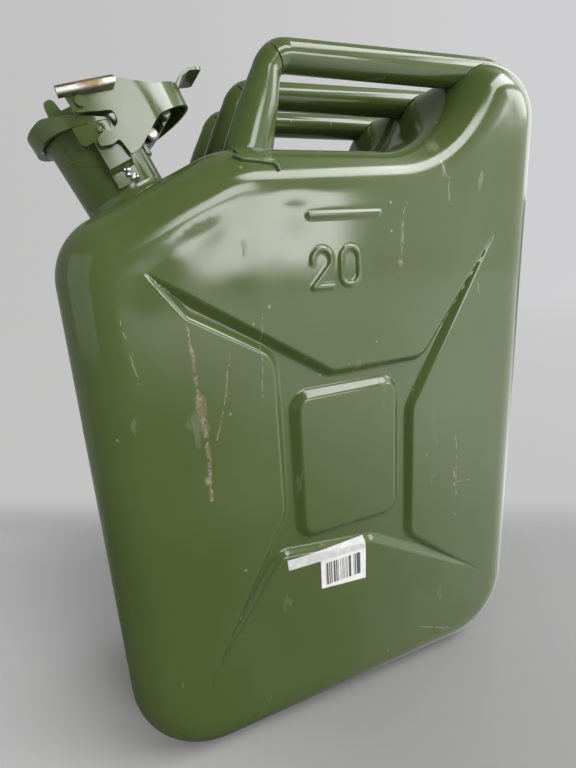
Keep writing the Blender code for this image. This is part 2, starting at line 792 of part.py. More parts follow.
def build_straps():
    """Model the joggled straps that carry the ends of the ring: a strip and its wider head."""
    foot_v = NECK_RADIUS + FIT_GAP + STRAP_THICKNESS / 2
    head_v = RING_RADIUS - STRAP_THICKNESS
    path = (
        (foot_v, STRAP_FOOT),
        (foot_v, STRAP_JOGGLE_LOW),
        (head_v, STRAP_JOGGLE_HIGH),
        (head_v, HEAD_LOW + HEAD_CORNER_RADIUS),
    )
    outline = strip_outline(path, STRAP_THICKNESS)
    inner = RING_RADIUS - 1.5 * STRAP_THICKNESS
    corners = (
        (HEAD_LEFT_U, HEAD_LOW, HEAD_CORNER_RADIUS),
        (HEAD_RIGHT_U, HEAD_LOW, HEAD_CORNER_RADIUS),
        (HEAD_RIGHT_U, ramp_low_at(HEAD_RIGHT_U) - FIT_GAP, 0.0),
        (HEAD_LEFT_U, ramp_low_at(HEAD_LEFT_U) - FIT_GAP, 0.0),
    )
    for name, side in (("strap_front", -1), ("strap_rear", 1)):
        strap = plate(name, [outline], STRAP_WIDTH, MODEL)
        strap.data.transform(Matrix.Rotation(side * math.pi / 2, 4, "Z"))
        strap.data.transform(Matrix.Translation((STRAP_U, 0, 0)))
        head = turned(
            f"{name}_head",
            (
                (inner, RING_LOW),
                (RING_RADIUS, RING_LOW),
                (RING_RADIUS, STRAP_FOOT),
                (inner, STRAP_FOOT),
            ),
            MODEL,
        )
        side_plate = plate(f"{name}_side", [rounded_outline(corners)], RING_RADIUS, MODEL)
        side_plate.data.transform(Matrix.Translation((0, side * RING_RADIUS, 0)))
        combine(head, side_plate, "INTERSECT")
        bake(head)
        combine(strap, head, "UNION")
        finish(bake(strap), PAINT, NECK_FRAME)


def mirrored_pair(first, name):
    """Join a piece with its mirror image across the can's mid plane."""
    twin = add_object(f"{name}_twin", first.data.copy(), MODEL)
    twin.data.transform(Matrix.Scale(-1, 4, (0, 1, 0)))
    twin.data.flip_normals()
    return twin


def pin(name, half_length, radius, head_radius, head_height, place):
    """Return a headed pin along the can's depth."""
    top = half_length + head_height
    made = turned(
        name,
        (
            (0.0, top),
            (head_radius, top),
            (head_radius, half_length),
            (radius, half_length),
            (radius, -half_length),
            (head_radius, -half_length),
            (head_radius, -top),
            (0.0, -top),
        ),
        MODEL,
        steps=16,
        closed=False,
    )
    made.data.transform(Matrix.Rotation(math.pi / 2, 4, "X"))
    made.data.transform(Matrix.Translation((place[0], 0, place[1])))
    return made


def build_hinge():
    """Model the bracket behind the neck, the hinge leaf that links it to the lever, and pins."""
    link_axis = (LINK_AXIS_U, LINK_AXIS_W)
    lever_axis = (LEVER_AXIS_U, LEVER_AXIS_W)
    hole = PIN_RADIUS + FIT_GAP
    saddle_radius = NECK_RADIUS + FIT_GAP

    knuckle_width = 2 * BRACKET_KNUCKLE_HALF
    stem_corners = (
        (NECK_RADIUS / 2, LINK_AXIS_W - EYE_RADIUS, 0.0),
        (LINK_AXIS_U + EYE_RADIUS, LINK_AXIS_W - EYE_RADIUS, EYE_RADIUS),
        (LINK_AXIS_U + EYE_RADIUS, LINK_AXIS_W + EYE_RADIUS, EYE_RADIUS),
        (NECK_RADIUS / 2, LINK_AXIS_W + EYE_RADIUS, 0.0),
    )
    bracket = plate("hinge_bracket", [rounded_outline(stem_corners)], knuckle_width, MODEL)
    saddle = turned(
        "saddle",
        (
            (saddle_radius / 2, BRACKET_HIGH),
            (saddle_radius + BRACKET_PLATE, BRACKET_HIGH),
            (saddle_radius + BRACKET_PLATE, BRACKET_LOW),
            (saddle_radius / 2, BRACKET_LOW),
        ),
        MODEL,
    )
    block = add_box("saddle_block", (2 * NECK_RADIUS, 2 * BRACKET_HALF_WIDTH, 2 * BRACKET_HIGH))
    block.data.transform(Matrix.Translation((1.6 * NECK_RADIUS, 0, BRACKET_HIGH)))
    combine(saddle, block, "INTERSECT")
    bake(saddle)
    combine(bracket, saddle, "UNION")
    inside = turned(
        "saddle_inside",
        (
            (0.0, 2 * BRACKET_HIGH),
            (saddle_radius, 2 * BRACKET_HIGH),
            (saddle_radius, -BRACKET_HIGH),
            (0.0, -BRACKET_HIGH),
        ),
        MODEL,
        closed=False,
    )
    combine(bracket, inside, "DIFFERENCE")
    bore = plate("bracket_bore", [disc(link_axis, hole, 16)], 2 * knuckle_width, MODEL)
    combine(bracket, bore, "DIFFERENCE")
    finish(bake(bracket), PAINT, NECK_FRAME)

    pin_half = LINK_FOOT_HALF_WIDTH + FIT_GAP
    link_pin = pin(
        "link_pin", pin_half, PIN_RADIUS, PIN_HEAD_RADIUS, PIN_HEAD_HEIGHT, link_axis
    )
    finish(link_pin, STEEL, NECK_FRAME)

    leaf_width = 2 * LINK_HALF_WIDTH
    link = plate("link", [link_outline(Vector(link_axis), Vector(lever_axis))], leaf_width, MODEL)
    for side in (-1, 1):
        flank = [
            (LINK_AXIS_U - 2 * EYE_RADIUS, side * LINK_FOOT_HALF_WIDTH),
            (LINK_AXIS_U + EYE_RADIUS, side * LINK_FOOT_HALF_WIDTH),
            (LEVER_AXIS_U - EYE_RADIUS, side * (LINK_HALF_WIDTH + FIT_GAP)),
            (LEVER_AXIS_U - EYE_RADIUS, side * 2 * LINK_HALF_WIDTH),
            (LINK_AXIS_U - 2 * EYE_RADIUS, side * 2 * LINK_HALF_WIDTH),
        ]
        cut = plate(f"link_flank_{side}", [flank], 4 * LEVER_AXIS_W, MODEL, upright=False)
        combine(link, cut, "DIFFERENCE")
        bake(link)
    clear_disc = disc(link_axis, EYE_RADIUS + HINGE_PLAY, 20)
    room = plate("knuckle_room", [clear_disc], knuckle_width + 2 * FIT_GAP, MODEL)
    combine(link, room, "DIFFERENCE")
    for axis, label in ((link_axis, "low"), (lever_axis, "high")):
        bore = plate(f"link_bore_{label}", [disc(axis, hole, 16)], 2 * leaf_width, MODEL)
        combine(link, bore, "DIFFERENCE")
    bake(link)
    finish(link, PAINT, NECK_FRAME, (LINK_AXIS_U, 0, LINK_AXIS_W))

    lever_pin = pin(
        "lever_pin",
        LINK_HALF_WIDTH + HINGE_PLAY + LEVER_SHEET + FIT_GAP,
        PIN_RADIUS,
        PIN_HEAD_RADIUS,
        PIN_HEAD_HEIGHT,
        lever_axis,
    )
    finish(lever_pin, STEEL, NECK_FRAME, (LEVER_AXIS_U, 0, LEVER_AXIS_W))


def link_outline(low, high):
    """Return the side view of the link: a flat leaf with a round eye at each end."""
    along = (high - low).normalized()
    across = Vector((along.y, -along.x))
    meeting = math.acos((EYE_RADIUS - LINK_LEAF) / EYE_RADIUS)
    turn = 2 * math.pi - meeting
    steps = 16
    outline = []
    for centre, first in ((low, 0.0), (high, meeting)):
        for step in range(steps + 1):
            angle = first + turn * step / steps
            outline.append(
                centre + (across * math.cos(angle) - along * math.sin(angle)) * EYE_RADIUS
            )
    return outline


def lever_plan(inset):
    """Return the lever's plan: two straight arms and a round back, smaller by an inset."""
    outer = CHEEK_OUTER_V - inset
    back = LEVER_BACK_U - CHEEK_OUTER_V
    left = -CHEEK_OUTER_V
    steps = 20
    arc = []
    for step in range(steps + 1):
        angle = -math.pi / 2 + math.pi * step / steps
        arc.append((back + outer * math.cos(angle), outer * math.sin(angle)))
    return [(left, -outer), *arc, (left, outer)]


def build_lever():
    """Model the pressed lever: two hooked cheeks, a round back, a deck and the finger tab."""
    tall = 4 * CHEEK_OUTER_V
    lever = plate("lever", [lever_plan(0.0)], tall, MODEL, upright=False)
    hollow = plate("lever_hollow", [lever_plan(LEVER_SHEET)], 2 * tall, MODEL, upright=False)
    hollow.data.transform(Matrix.Translation((-CUT_OVERRUN, 0, 0)))
    hollow.data.transform(Matrix.Translation((CUT_OVERRUN, 0, 0)))
    combine(lever, hollow, "DIFFERENCE")
    bake(lever)
    side = plate("lever_side", [rounded_outline(LEVER_CORNERS)], 3 * CHEEK_OUTER_V, MODEL)
    combine(lever, side, "INTERSECT")
    bake(lever)

    deck_corners = top_of_lever()
    deck_line = strip_outline(deck_corners, LEVER_SHEET)
    deck = plate("lever_deck", [deck_line], 3 * CHEEK_OUTER_V, MODEL)
    plan = plate("deck_plan", [lever_plan(LEVER_SHEET / 2)], tall, MODEL, upright=False)
    combine(deck, plan, "INTERSECT")
    bake(deck)
    combine(lever, deck, "UNION")

    tab = plate("lever_tab", [strip_outline(TAB_PATH, TAB_SHEET)], TAB_WIDTH, MODEL)
    half = TAB_WIDTH / 2
    end_u = TAB_PATH[-1][0] + TAB_SHEET
    tab_plan = rounded_outline(
        (
            (TAB_PATH[0][0], -half, 0.0),
            (end_u, -half, TAB_ROUNDING),
            (end_u, half, TAB_ROUNDING),
            (TAB_PATH[0][0], half, 0.0),
        )
    )
    combine(tab, plate("tab_plan", [tab_plan], tall, MODEL, upright=False), "INTERSECT")
    bake(tab)
    combine(lever, tab, "UNION")

    lug_inner = LINK_HALF_WIDTH + HINGE_PLAY
    lug_left, lug_right = LEVER_AXIS_U - EYE_RADIUS, LEVER_AXIS_U + EYE_RADIUS
    lug_corners = (
        (lug_left, LEVER_AXIS_W - EYE_RADIUS, EYE_RADIUS),
        (lug_right, LEVER_AXIS_W - EYE_RADIUS, EYE_RADIUS),
        (lug_right, deck_height(lug_right), 0.0),
        (lug_left, deck_height(lug_left), 0.0),
    )
    lug = plate("lever_lug", [rounded_outline(lug_corners)], LEVER_SHEET, MODEL)
    lug.data.transform(Matrix.Translation((0, -lug_inner - LEVER_SHEET / 2, 0)))
    twin = mirrored_pair(lug, "lug")
    combine(lever, lug, "UNION")
    combine(lever, twin, "UNION")
    for label, place, radius in (
        ("hinge", (LEVER_AXIS_U, LEVER_AXIS_W), PIN_RADIUS),
        ("cross", (LID_AXIS_U, LID_AXIS_W), CROSS_PIN_RADIUS),
    ):
        wide = 3 * CHEEK_OUTER_V if label != "hinge" else 2 * (lug_inner + 2 * LEVER_SHEET)
        bore = plate(f"lever_bore_{label}", [disc(place, radius + FIT_GAP, 16)], wide, MODEL)
        combine(lever, bore, "DIFFERENCE")
    bake(lever)
    finish(lever, PAINT, NECK_FRAME, (LEVER_AXIS_U, 0, LEVER_AXIS_W))


def top_of_lever():
    """Return the middle line of the deck, from its front edge to the round back."""
    half = LEVER_SHEET / 2
    crest, knee, back = LEVER_CORNERS[LEVER_KNEE + 1 : LEVER_KNEE - 2 : -1]
    slope = (knee[1] - crest[1]) / (knee[0] - crest[0])
    start = (LEVER_DECK_U, crest[1] + slope * (LEVER_DECK_U - crest[0]) - half)
    return (start, (knee[0], knee[1] - half), (back[0], back[1] - half))


def deck_height(u):
    """Return the height of the middle line of the deck's flat part."""
    _, knee, back = top_of_lever()
    share = (u - knee[0]) / (back[0] - knee[0])
    return knee[1] + (back[1] - knee[1]) * share


def build_edge_strips():
    """Model the bare rolled strips that lie on the arms of the lever."""
    right, left = (Vector(corner[:2]) for corner in LEVER_CORNERS[LEVER_KNEE + 1 :])
    slope = right - left
    lean = math.atan2(slope.y, slope.x)
    length = (EDGE_STRIP_END_U - EDGE_STRIP_START_U) / math.cos(lean)
    tall = EDGE_STRIP_HEIGHT
    start_w = left.y + math.tan(lean) * (EDGE_STRIP_START_U - left.x)
    start_w += (EDGE_STRIP_LIFT - tall) / math.cos(lean)
    half = EDGE_STRIP_WIDTH / 2
    side_corners = (
        (0.0, 0.0, 0.0),
        (length, 0.0, tall / 2),
        (length, tall, tall / 2),
        (0.0, tall, 0.0),
    )
    section_corners = (
        (-half, 0.0, EDGE_STRIP_ROUNDING),
        (half, 0.0, 0.0),
        (half, tall, 0.0),
        (-half, tall, EDGE_STRIP_ROUNDING),
    )
    place = Matrix.Translation((EDGE_STRIP_START_U, 0, start_w))
    turn = Matrix.Rotation(-lean, 4, "Y")
    middle_v = CHEEK_OUTER_V + FIT_GAP + half
    for name, side in (("edge_strip_front", -1), ("edge_strip_rear", 1)):
        strip = plate(name, [rounded_outline(side_corners)], 2 * EDGE_STRIP_WIDTH, MODEL)
        form = plate(f"{name}_form", [rounded_outline(section_corners)], 3 * length, MODEL)
        form.data.transform(Matrix.Rotation(math.pi / 2, 4, "Z"))
        if side > 0:
            form.data.transform(Matrix.Rotation(math.pi, 4, "Z"))
        combine(strip, form, "INTERSECT")
        bake(strip)
        strip.data.transform(Matrix.Translation((0, side * middle_v, 0)) @ place @ turn)
        finish(strip, STEEL, NECK_FRAME, (LEVER_AXIS_U, 0, LEVER_AXIS_W))


def build_cross_pin():
    """Model the pin that carries the lid in the arms of the lever."""
    cross_pin = pin(
        "cross_pin",
        CHEEK_OUTER_V + FIT_GAP,
        CROSS_PIN_RADIUS,
        CROSS_PIN_HEAD_RADIUS,
        CROSS_PIN_HEAD_HEIGHT,
        (LID_AXIS_U, LID_AXIS_W),
    )
    finish(cross_pin, PAINT, NECK_FRAME, (LEVER_AXIS_U, 0, LEVER_AXIS_W))


def build_lid():
    """Model the dished lid, its yoke and rivets, and the gasket under it."""
    origin = (LID_AXIS_U, 0, LID_AXIS_W)
    top = LID_SEAT + LID_SHEET
    skirt_low = MOUTH_HEIGHT + LID_SKIRT_GAP
    inner = LID_RADIUS - LID_SHEET
    dish = LID_DISH_RADIUS
    bottom = LID_DISH_TOP - LID_SHEET
    lid = turned(
        "lid",
        (
            (0.0, LID_DISH_TOP),
            (dish - LID_DISH_SLOPE, LID_DISH_TOP),
            (dish, top),
            (inner, top),
            (LID_RADIUS, LID_SEAT),
            (LID_RADIUS, skirt_low),
            (inner, skirt_low),
            (inner, LID_SEAT),
            (dish + LID_SHEET, LID_SEAT),
            (dish + LID_SHEET - LID_DISH_SLOPE, bottom),
            (0.0, bottom),
        ),
        MODEL,
        closed=False,
    )
    for u in (-LID_RIVET_U, LID_RIVET_U):
        bore = plate(
            "lid_bore", [disc((u, 0), LID_RIVET_RADIUS + FIT_GAP, 12)], LID_RADIUS, MODEL, False
        )
        bore.data.transform(Matrix.Translation((0, 0, LID_DISH_TOP)))
        combine(lid, bore, "DIFFERENCE")
    finish(bake(lid), PAINT, NECK_FRAME, origin)

    gasket = turned(
        "gasket",
        (
            (dish + LID_SHEET + FIT_GAP, LID_SEAT - FIT_GAP),
            (inner - FIT_GAP, LID_SEAT - FIT_GAP),
            (inner - FIT_GAP, GASKET_BOTTOM),
            (dish + LID_SHEET + FIT_GAP, GASKET_BOTTOM),
        ),
        MODEL,
    )
    finish(gasket, BLACK, NECK_FRAME, origin)

    base_low = LID_DISH_TOP + FIT_GAP
    base_high = base_low + YOKE_SHEET
    yoke_path = (
        (-YOKE_HALF_WIDTH, LID_AXIS_W + YOKE_EAR_RADIUS),
        (-YOKE_HALF_WIDTH, base_low + YOKE_SHEET / 2),
        (YOKE_HALF_WIDTH, base_low + YOKE_SHEET / 2),
        (YOKE_HALF_WIDTH, LID_AXIS_W + YOKE_EAR_RADIUS),
    )
    bracket = plate("lid_bracket", [strip_outline(yoke_path, YOKE_SHEET)], YOKE_LENGTH, MODEL)
    bracket.data.transform(Matrix.Rotation(math.pi / 2, 4, "Z"))
    ear = YOKE_EAR_RADIUS
    half = YOKE_LENGTH / 2
    side_corners = (
        (-half, base_low - YOKE_SHEET, 0.0),
        (half, base_low - YOKE_SHEET, 0.0),
        (half, base_high + YOKE_SHEET / 2, 0.0),
        (LID_AXIS_U + ear, base_high + YOKE_SHEET / 2, 0.0),
        (LID_AXIS_U + ear, LID_AXIS_W + ear, ear),
        (LID_AXIS_U - ear, LID_AXIS_W + ear, ear),
        (LID_AXIS_U - ear, base_high + YOKE_SHEET / 2, 0.0),
        (-half, base_high + YOKE_SHEET / 2, 0.0),
    )
    side = plate("yoke_side", [rounded_outline(side_corners)], 4 * YOKE_HALF_WIDTH, MODEL)
    combine(bracket, side, "INTERSECT")
    bake(bracket)
    place = (LID_AXIS_U, LID_AXIS_W)
    bore = plate(
        "yoke_bore", [disc(place, CROSS_PIN_RADIUS + FIT_GAP, 16)], 4 * YOKE_HALF_WIDTH, MODEL
    )
    combine(bracket, bore, "DIFFERENCE")
    for u in (-LID_RIVET_U, LID_RIVET_U):
        bore = plate(
            "base_bore", [disc((u, 0), LID_RIVET_RADIUS + FIT_GAP, 12)], LID_RADIUS, MODEL, False
        )
        bore.data.transform(Matrix.Translation((0, 0, LID_DISH_TOP)))
        combine(bracket, bore, "DIFFERENCE")
    finish(bake(bracket), PAINT, NECK_FRAME, origin)

    low = LID_DISH_TOP - LID_SHEET - FIT_GAP
    high = base_high + FIT_GAP
    for name, u in (("lid_rivet_left", -LID_RIVET_U), ("lid_rivet_right", LID_RIVET_U)):
        rivet = turned(
            name,
            (
                (0.0, high + LID_RIVET_HEAD_HEIGHT),
                (LID_RIVET_HEAD_RADIUS / 2, high + LID_RIVET_HEAD_HEIGHT),
                (LID_RIVET_HEAD_RADIUS, high + LID_RIVET_HEAD_HEIGHT / 2),
                (LID_RIVET_HEAD_RADIUS, high),
                (LID_RIVET_RADIUS, high),
                (LID_RIVET_RADIUS, low),
                (LID_RIVET_HEAD_RADIUS, low),
                (LID_RIVET_HEAD_RADIUS, low - LID_RIVET_HEAD_HEIGHT / 2),
                (0.0, low - LID_RIVET_HEAD_HEIGHT / 2),
            ),
            MODEL,
            steps=12,
            closed=False,
        )
        rivet.data.transform(Matrix.Translation((u, 0, 0)))
        finish(rivet, STEEL, NECK_FRAME, origin)


def build_lid_guide():
    """Model the bent plate on the lid's rim, with a rounded lug at each end."""
    low = LID_SEAT + LID_SHEET + FIT_GAP
    middle = low + GUIDE_SHEET / 2
    reach = GUIDE_HALF_WIDTH - GUIDE_SHEET / 2
    path = ((-reach, LUG_TOP), (-reach, middle), (reach, middle), (reach, LUG_TOP))
    length = 2 * (GUIDE_RIGHT_U - GUIDE_LEFT_U)
    guide = plate("lid_guide", [strip_outline(path, GUIDE_SHEET)], length, MODEL)
    guide.data.transform(Matrix.Rotation(math.pi / 2, 4, "Z"))
    guide.data.transform(Matrix.Translation((GUIDE_LEFT_U, 0, 0)))
    corner = (LUG_RIGHT_U - LUG_LEFT_U) / 2 - LUG_TAPER
    side_corners = (
        (GUIDE_LEFT_U, low - GUIDE_SHEET, 0.0),
        (GUIDE_RIGHT_U, low - GUIDE_SHEET, 0.0),
        (GUIDE_RIGHT_U, GUIDE_LOW_EDGE, 0.0),
        (LUG_RIGHT_U, GUIDE_LOW_EDGE, 0.0),
        (LUG_RIGHT_U - LUG_TAPER, LUG_TOP, corner),
        (LUG_LEFT_U + LUG_TAPER, LUG_TOP, corner),
        (LUG_LEFT_U, GUIDE_LOW_EDGE, 0.0),
        (GUIDE_LEFT_U, GUIDE_LOW_EDGE - LUG_TAPER, 0.0),
    )
    side = plate("guide_side", [rounded_outline(side_corners)], 3 * LID_RADIUS, MODEL)
    combine(guide, side, "INTERSECT")
    bake(guide)
    notch = add_box("guide_notch", (LID_RADIUS, 2 * GUIDE_NOTCH_HALF, LID_RADIUS))
    notch.data.transform(Matrix.Translation((GUIDE_NOTCH_U + LID_RADIUS / 2, 0, low)))
    combine(guide, notch, "DIFFERENCE")
    finish(bake(guide), PAINT, NECK_FRAME, (LID_AXIS_U, 0, LID_AXIS_W))


def add_neck_frame():
    """Return the empty at the foot of the spout, tilted with it."""
    frame = bpy.data.objects.new("neck_frame", None)
    MODEL.objects.link(frame)
    frame.location = (NECK_INSET - RIGHT_SIDE, 0, SHOULDER_TOP_AT_NECK)
    frame.rotation_euler = (0, -SHOULDER_ANGLE, 0)
    bpy.context.view_layer.update()
    return frame


clear_scene()
MODEL = new_collection("jerry_can", hidden=False)
CUTTERS = new_collection("cutters", hidden=True)
PAINT = material("green_paint", GREEN, 0.3, 0.0)
STEEL = material("bare_steel", BARE_STEEL, 0.35, 1.0)
BLACK = material("black_rubber", RUBBER, 0.6, 0.0)
NECK_FRAME = add_neck_frame()

build_shells()
for handle_name, handle_depth in (
    ("handle_front", -HANDLE_SPACING),
    ("handle_middle", 0.0),
    ("handle_rear", HANDLE_SPACING),
):
    build_handle(handle_name, handle_depth)
build_neck()
build_cam_ring()
build_straps()
build_hinge()
build_lever()
build_edge_strips()
build_cross_pin()
build_lid()
build_lid_guide()
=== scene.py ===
"""Looks of a 20 litre pressed-steel fuel can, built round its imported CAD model.

The can stands on the floor at the origin: X runs along its width with the spout at -X, Y along
its depth with the front face at -Y, and Z is up. All lengths are in metres. The closure is
placed in the frame of the neck: u towards the handles, v along the can's depth, w up the spout.
"""

import copy
import logging
import math
from collections.abc import Callable, Iterable, Sequence
from dataclasses import dataclass, field
from enum import Enum
from typing import ClassVar, NamedTuple

import bmesh
import bpy
import numpy as np
from mathutils import Matrix, Vector
from mathutils.geometry import delaunay_2d_cdt


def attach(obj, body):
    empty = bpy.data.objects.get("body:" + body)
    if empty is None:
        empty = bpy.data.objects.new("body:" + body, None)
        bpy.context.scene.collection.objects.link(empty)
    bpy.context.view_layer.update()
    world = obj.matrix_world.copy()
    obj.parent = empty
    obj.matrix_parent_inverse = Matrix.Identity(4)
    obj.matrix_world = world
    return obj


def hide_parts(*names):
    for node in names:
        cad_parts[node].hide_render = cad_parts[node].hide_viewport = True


LOG = logging.getLogger("jerry_can")
FRAME_SIZE = (576, 768)

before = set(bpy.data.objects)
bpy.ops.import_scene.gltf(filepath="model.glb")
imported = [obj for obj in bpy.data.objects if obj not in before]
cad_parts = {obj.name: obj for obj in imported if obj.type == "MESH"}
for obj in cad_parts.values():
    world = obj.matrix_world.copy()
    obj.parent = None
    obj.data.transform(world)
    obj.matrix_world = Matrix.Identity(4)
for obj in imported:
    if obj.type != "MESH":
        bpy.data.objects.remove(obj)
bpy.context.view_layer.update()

Colour = tuple[float, float, float, float]
Pair = tuple[float, float]
Point = tuple[float, float, float]
Path = Sequence[Point]
Faces = list[tuple[int, ...]]
Socket = bpy.types.NodeSocket
Tree = bpy.types.NodeTree


class Slot(Enum):
    """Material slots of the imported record."""

    PAINT = "green_paint"
    STEEL = "bare_steel"
    RUBBER = "black_rubber"


class Body(Enum):
    """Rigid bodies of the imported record."""

    CAN = "can"
    LINK = "link"
    LEVER = "lever"
    LID = "lid"


class Look(Enum):
    """Finishes of the pieces, by the name of their material."""

    FRONT = "front_paint"
    BODY = "body_paint"
    CLOSURE = "closure_paint"
    WELD = "weld_paint"
    FOIL = "foil_strip"
    LABEL = "bar_label"
    STEEL = "zinc_steel"
    STRIP = "strip_steel"
    RUBBER = "seal_rubber"


# Body of the can, with the sizes of the CAD model
CAN_WIDTH = 0.345
CAN_DEPTH = 0.165
HUMP_HEIGHT = 0.474
RECESS_HEIGHT = 0.4175
SHOULDER_EDGE_HEIGHT = 0.3704
SHOULDER_ANGLE = math.radians(25)
HUMP_ANGLE = math.radians(60)
HUMP_FOOT_X = 0.0815
FACE_RADIUS = 0.0275
FLANK_DEPTH = CAN_DEPTH / 2 - FACE_RADIUS
BEND_RADIUS = 0.068
SHEET = 0.001
SEAM_GAP = 0.0002
CDT_INSIDE = 1
CDT_EPSILON = 1e-9

# Neck frame
NECK_X = -0.1168
NECK_ORIGIN = Vector(
    (NECK_X, 0.0, SHOULDER_EDGE_HEIGHT + (NECK_X + CAN_WIDTH / 2) * math.tan(SHOULDER_ANGLE))
)
NECK_MATRIX = Matrix.Translation(NECK_ORIGIN) @ Matrix.Rotation(-SHOULDER_ANGLE, 4, "Y")
NECK_HOLE_RADIUS = 0.0283
NECK_HOLE_DEPTH = 0.08


# Node trees

SOCKET_KINDS = {
    float: "NodeSocketFloat",
    int: "NodeSocketInt",
    tuple: "NodeSocketVector",
    bpy.types.Material: "NodeSocketMaterial",
    bpy.types.Mesh: "NodeSocketGeometry",
}
MEASURES = ("DOT_PRODUCT", "DISTANCE", "LENGTH")


class Pattern(NamedTuple):
    """A noise made a mask, 0 where the noise is at low and 1 where it is at high."""

    scale: float
    detail: float
    low: float
    high: float


class Nodes:
    """A small builder for shader and geometry node trees."""

    def __init__(self, tree: Tree) -> None:
        """Keep the tree that the nodes go into."""
        self.tree = tree

    def feed(self, node: bpy.types.Node, inputs: dict) -> None:
        """Give a node its inputs.

        Args:
            node: The node.
            inputs: Socket index or name to a socket to link from, or a plain value.
        """
        for key, value in inputs.items():
            if isinstance(value, Socket):
                self.tree.links.new(value, node.inputs[key])
            else:
                node.inputs[key].default_value = value

    def add(self, kind: str, inputs: dict | None = None, **settings: object) -> bpy.types.Node:
        """Add a node.

        Args:
            kind: The node's Blender type.
            inputs: What its sockets take, as for feed.
            settings: Properties of the node.

        Returns:
            The new node.
        """
        node = self.tree.nodes.new(kind)
        for name, value in settings.items():
            setattr(node, name, value)
        self.feed(node, inputs or {})
        return node

    def math(self, operation: str, *values: object, clamp: bool = False) -> Socket:
        """Return the result of a Math node."""
        inputs = dict(enumerate(values))
        return self.add("ShaderNodeMath", inputs, operation=operation, use_clamp=clamp).outputs[0]

    def times(self, first: object, second: object) -> Socket:
        """Return the product of two values."""
        return self.math("MULTIPLY", first, second)

    def vector(self, operation: str, *values: object) -> Socket:
        """Return the result of a Vector Math node, a vector or a measure."""
        node = self.add("ShaderNodeVectorMath", dict(enumerate(values)), operation=operation)
        return node.outputs["Value" if operation in MEASURES else 0]

    def mix(self, factor: object, first: object, second: object) -> Socket:
        """Blend two colours by a factor."""
        inputs = {0: factor, 6: first, 7: second}
        return self.add("ShaderNodeMix", inputs, data_type="RGBA").outputs[2]

    def blend(self, factor: object, first: object, second: object) -> Socket:
        """Blend two values by a factor."""
        inputs = {0: factor, 2: first, 3: second}
        return self.add("ShaderNodeMix", inputs, data_type="FLOAT").outputs[0]

    def ramp(self, value: object, low: float, high: float) -> Socket:
        """Return a smooth step of a value, 0 at low and 1 at high."""
        inputs = {"Value": value, "From Min": low, "From Max": high}
        return self.add("ShaderNodeMapRange", inputs, interpolation_type="SMOOTHSTEP").outputs[0]

    def noise(self, place: object, scale: float, detail: float = 2.0) -> Socket:
        """Return the value of a Noise texture at a place."""
        inputs = {"Vector": place, "Scale": scale, "Detail": detail}
        return self.add("ShaderNodeTexNoise", inputs).outputs[0]

    def mask(self, place: object, pattern: Pattern) -> Socket:
        """Return a noise pattern's mask at a place."""
        noise = self.noise(place, pattern.scale, pattern.detail)
        return self.ramp(noise, pattern.low, pattern.high)

    def place(self, coordinates: str = "Object") -> Socket:
        """Return the coordinates that a texture is laid on."""
        return self.add("ShaderNodeTexCoord").outputs[coordinates]

    def split(self, place: Socket) -> bpy.types.bpy_prop_collection:
        """Return the X, Y and Z of a place."""
        return self.add("ShaderNodeSeparateXYZ", {0: place}).outputs

    def group(self, tree: Tree, **inputs: object) -> Socket:
        """Place a shared group and return its output."""
        node = self.add("ShaderNodeGroup", node_tree=tree)
        self.feed(node, inputs)
        return node.outputs[0]

    def bump(self, height: Socket, distance: float) -> Socket:
        """Return the normal of a surface with a height, in units of a distance."""
        return self.add("ShaderNodeBump", {"Height": height, "Distance": distance}).outputs[0]


def new_group(
    kind: str, name: str, inputs: dict, outputs: dict
) -> tuple[Nodes, dict, bpy.types.Node]:
    """Start a node group.

    Args:
        kind: The Blender type of its tree.
        name: Its name.
        inputs: Socket name to default value, or to the type of a socket that has none.
        outputs: Socket name to type.

    Returns:
        The builder, the sockets that bring the inputs, by name, and the output node.
    """
    tree = bpy.data.node_groups.new(name, kind)
    for label, value in inputs.items():
        value_type = value if isinstance(value, type) else type(value)
        socket_type = SOCKET_KINDS[value_type]
        socket = tree.interface.new_socket(label, in_out="INPUT", socket_type=socket_type)
        if value is not value_type:
            socket.default_value = value
    for label, value_type in outputs.items():
        tree.interface.new_socket(label, in_out="OUTPUT", socket_type=SOCKET_KINDS[value_type])
    nodes = Nodes(tree)
    return nodes, nodes.add("NodeGroupInput").outputs, nodes.add("NodeGroupOutput")


def quarter_turn(steps: int) -> list[float]:
    """Return the angles of a quarter turn, from 0 to 90 degrees."""
    return [math.pi / 2 * step / steps for step in range(steps + 1)]


def shader_effect(rule: Callable[[Nodes, dict], Socket], output: str, **inputs: object) -> Tree:
    """Build a shader group of one effect.

    Args:
        rule: The function that adds its nodes and returns what it puts out.
        output: The name of its output.
        inputs: Its inputs, as for new_group.

    Returns:
        The group, named as its rule.
    """
    nodes, source, sink = new_group("ShaderNodeTree", rule.__name__, inputs, {output: float})
    nodes.feed(sink, {output: rule(nodes, source)})
    return nodes.tree


# Effects that several finishes share

EDGE_SPAN = (0.995, 0.9)
WEAR_PATCHES = Pattern(160.0, 4.0, 0.95, 1.15)
RIPPLE_SCALE = 420.0
SAG_SCALE = 14.0
SPECK_SPAN = (0.13, 0.03)
SPECK_DRIFTS = Pattern(22.0, 3.0, 0.48, 0.62)
WANDER_SCALE = 70.0
WANDER = (0.004, 0.0, 0.004)
BREAK_SCALE = 240.0
FRONT_Y = -0.06


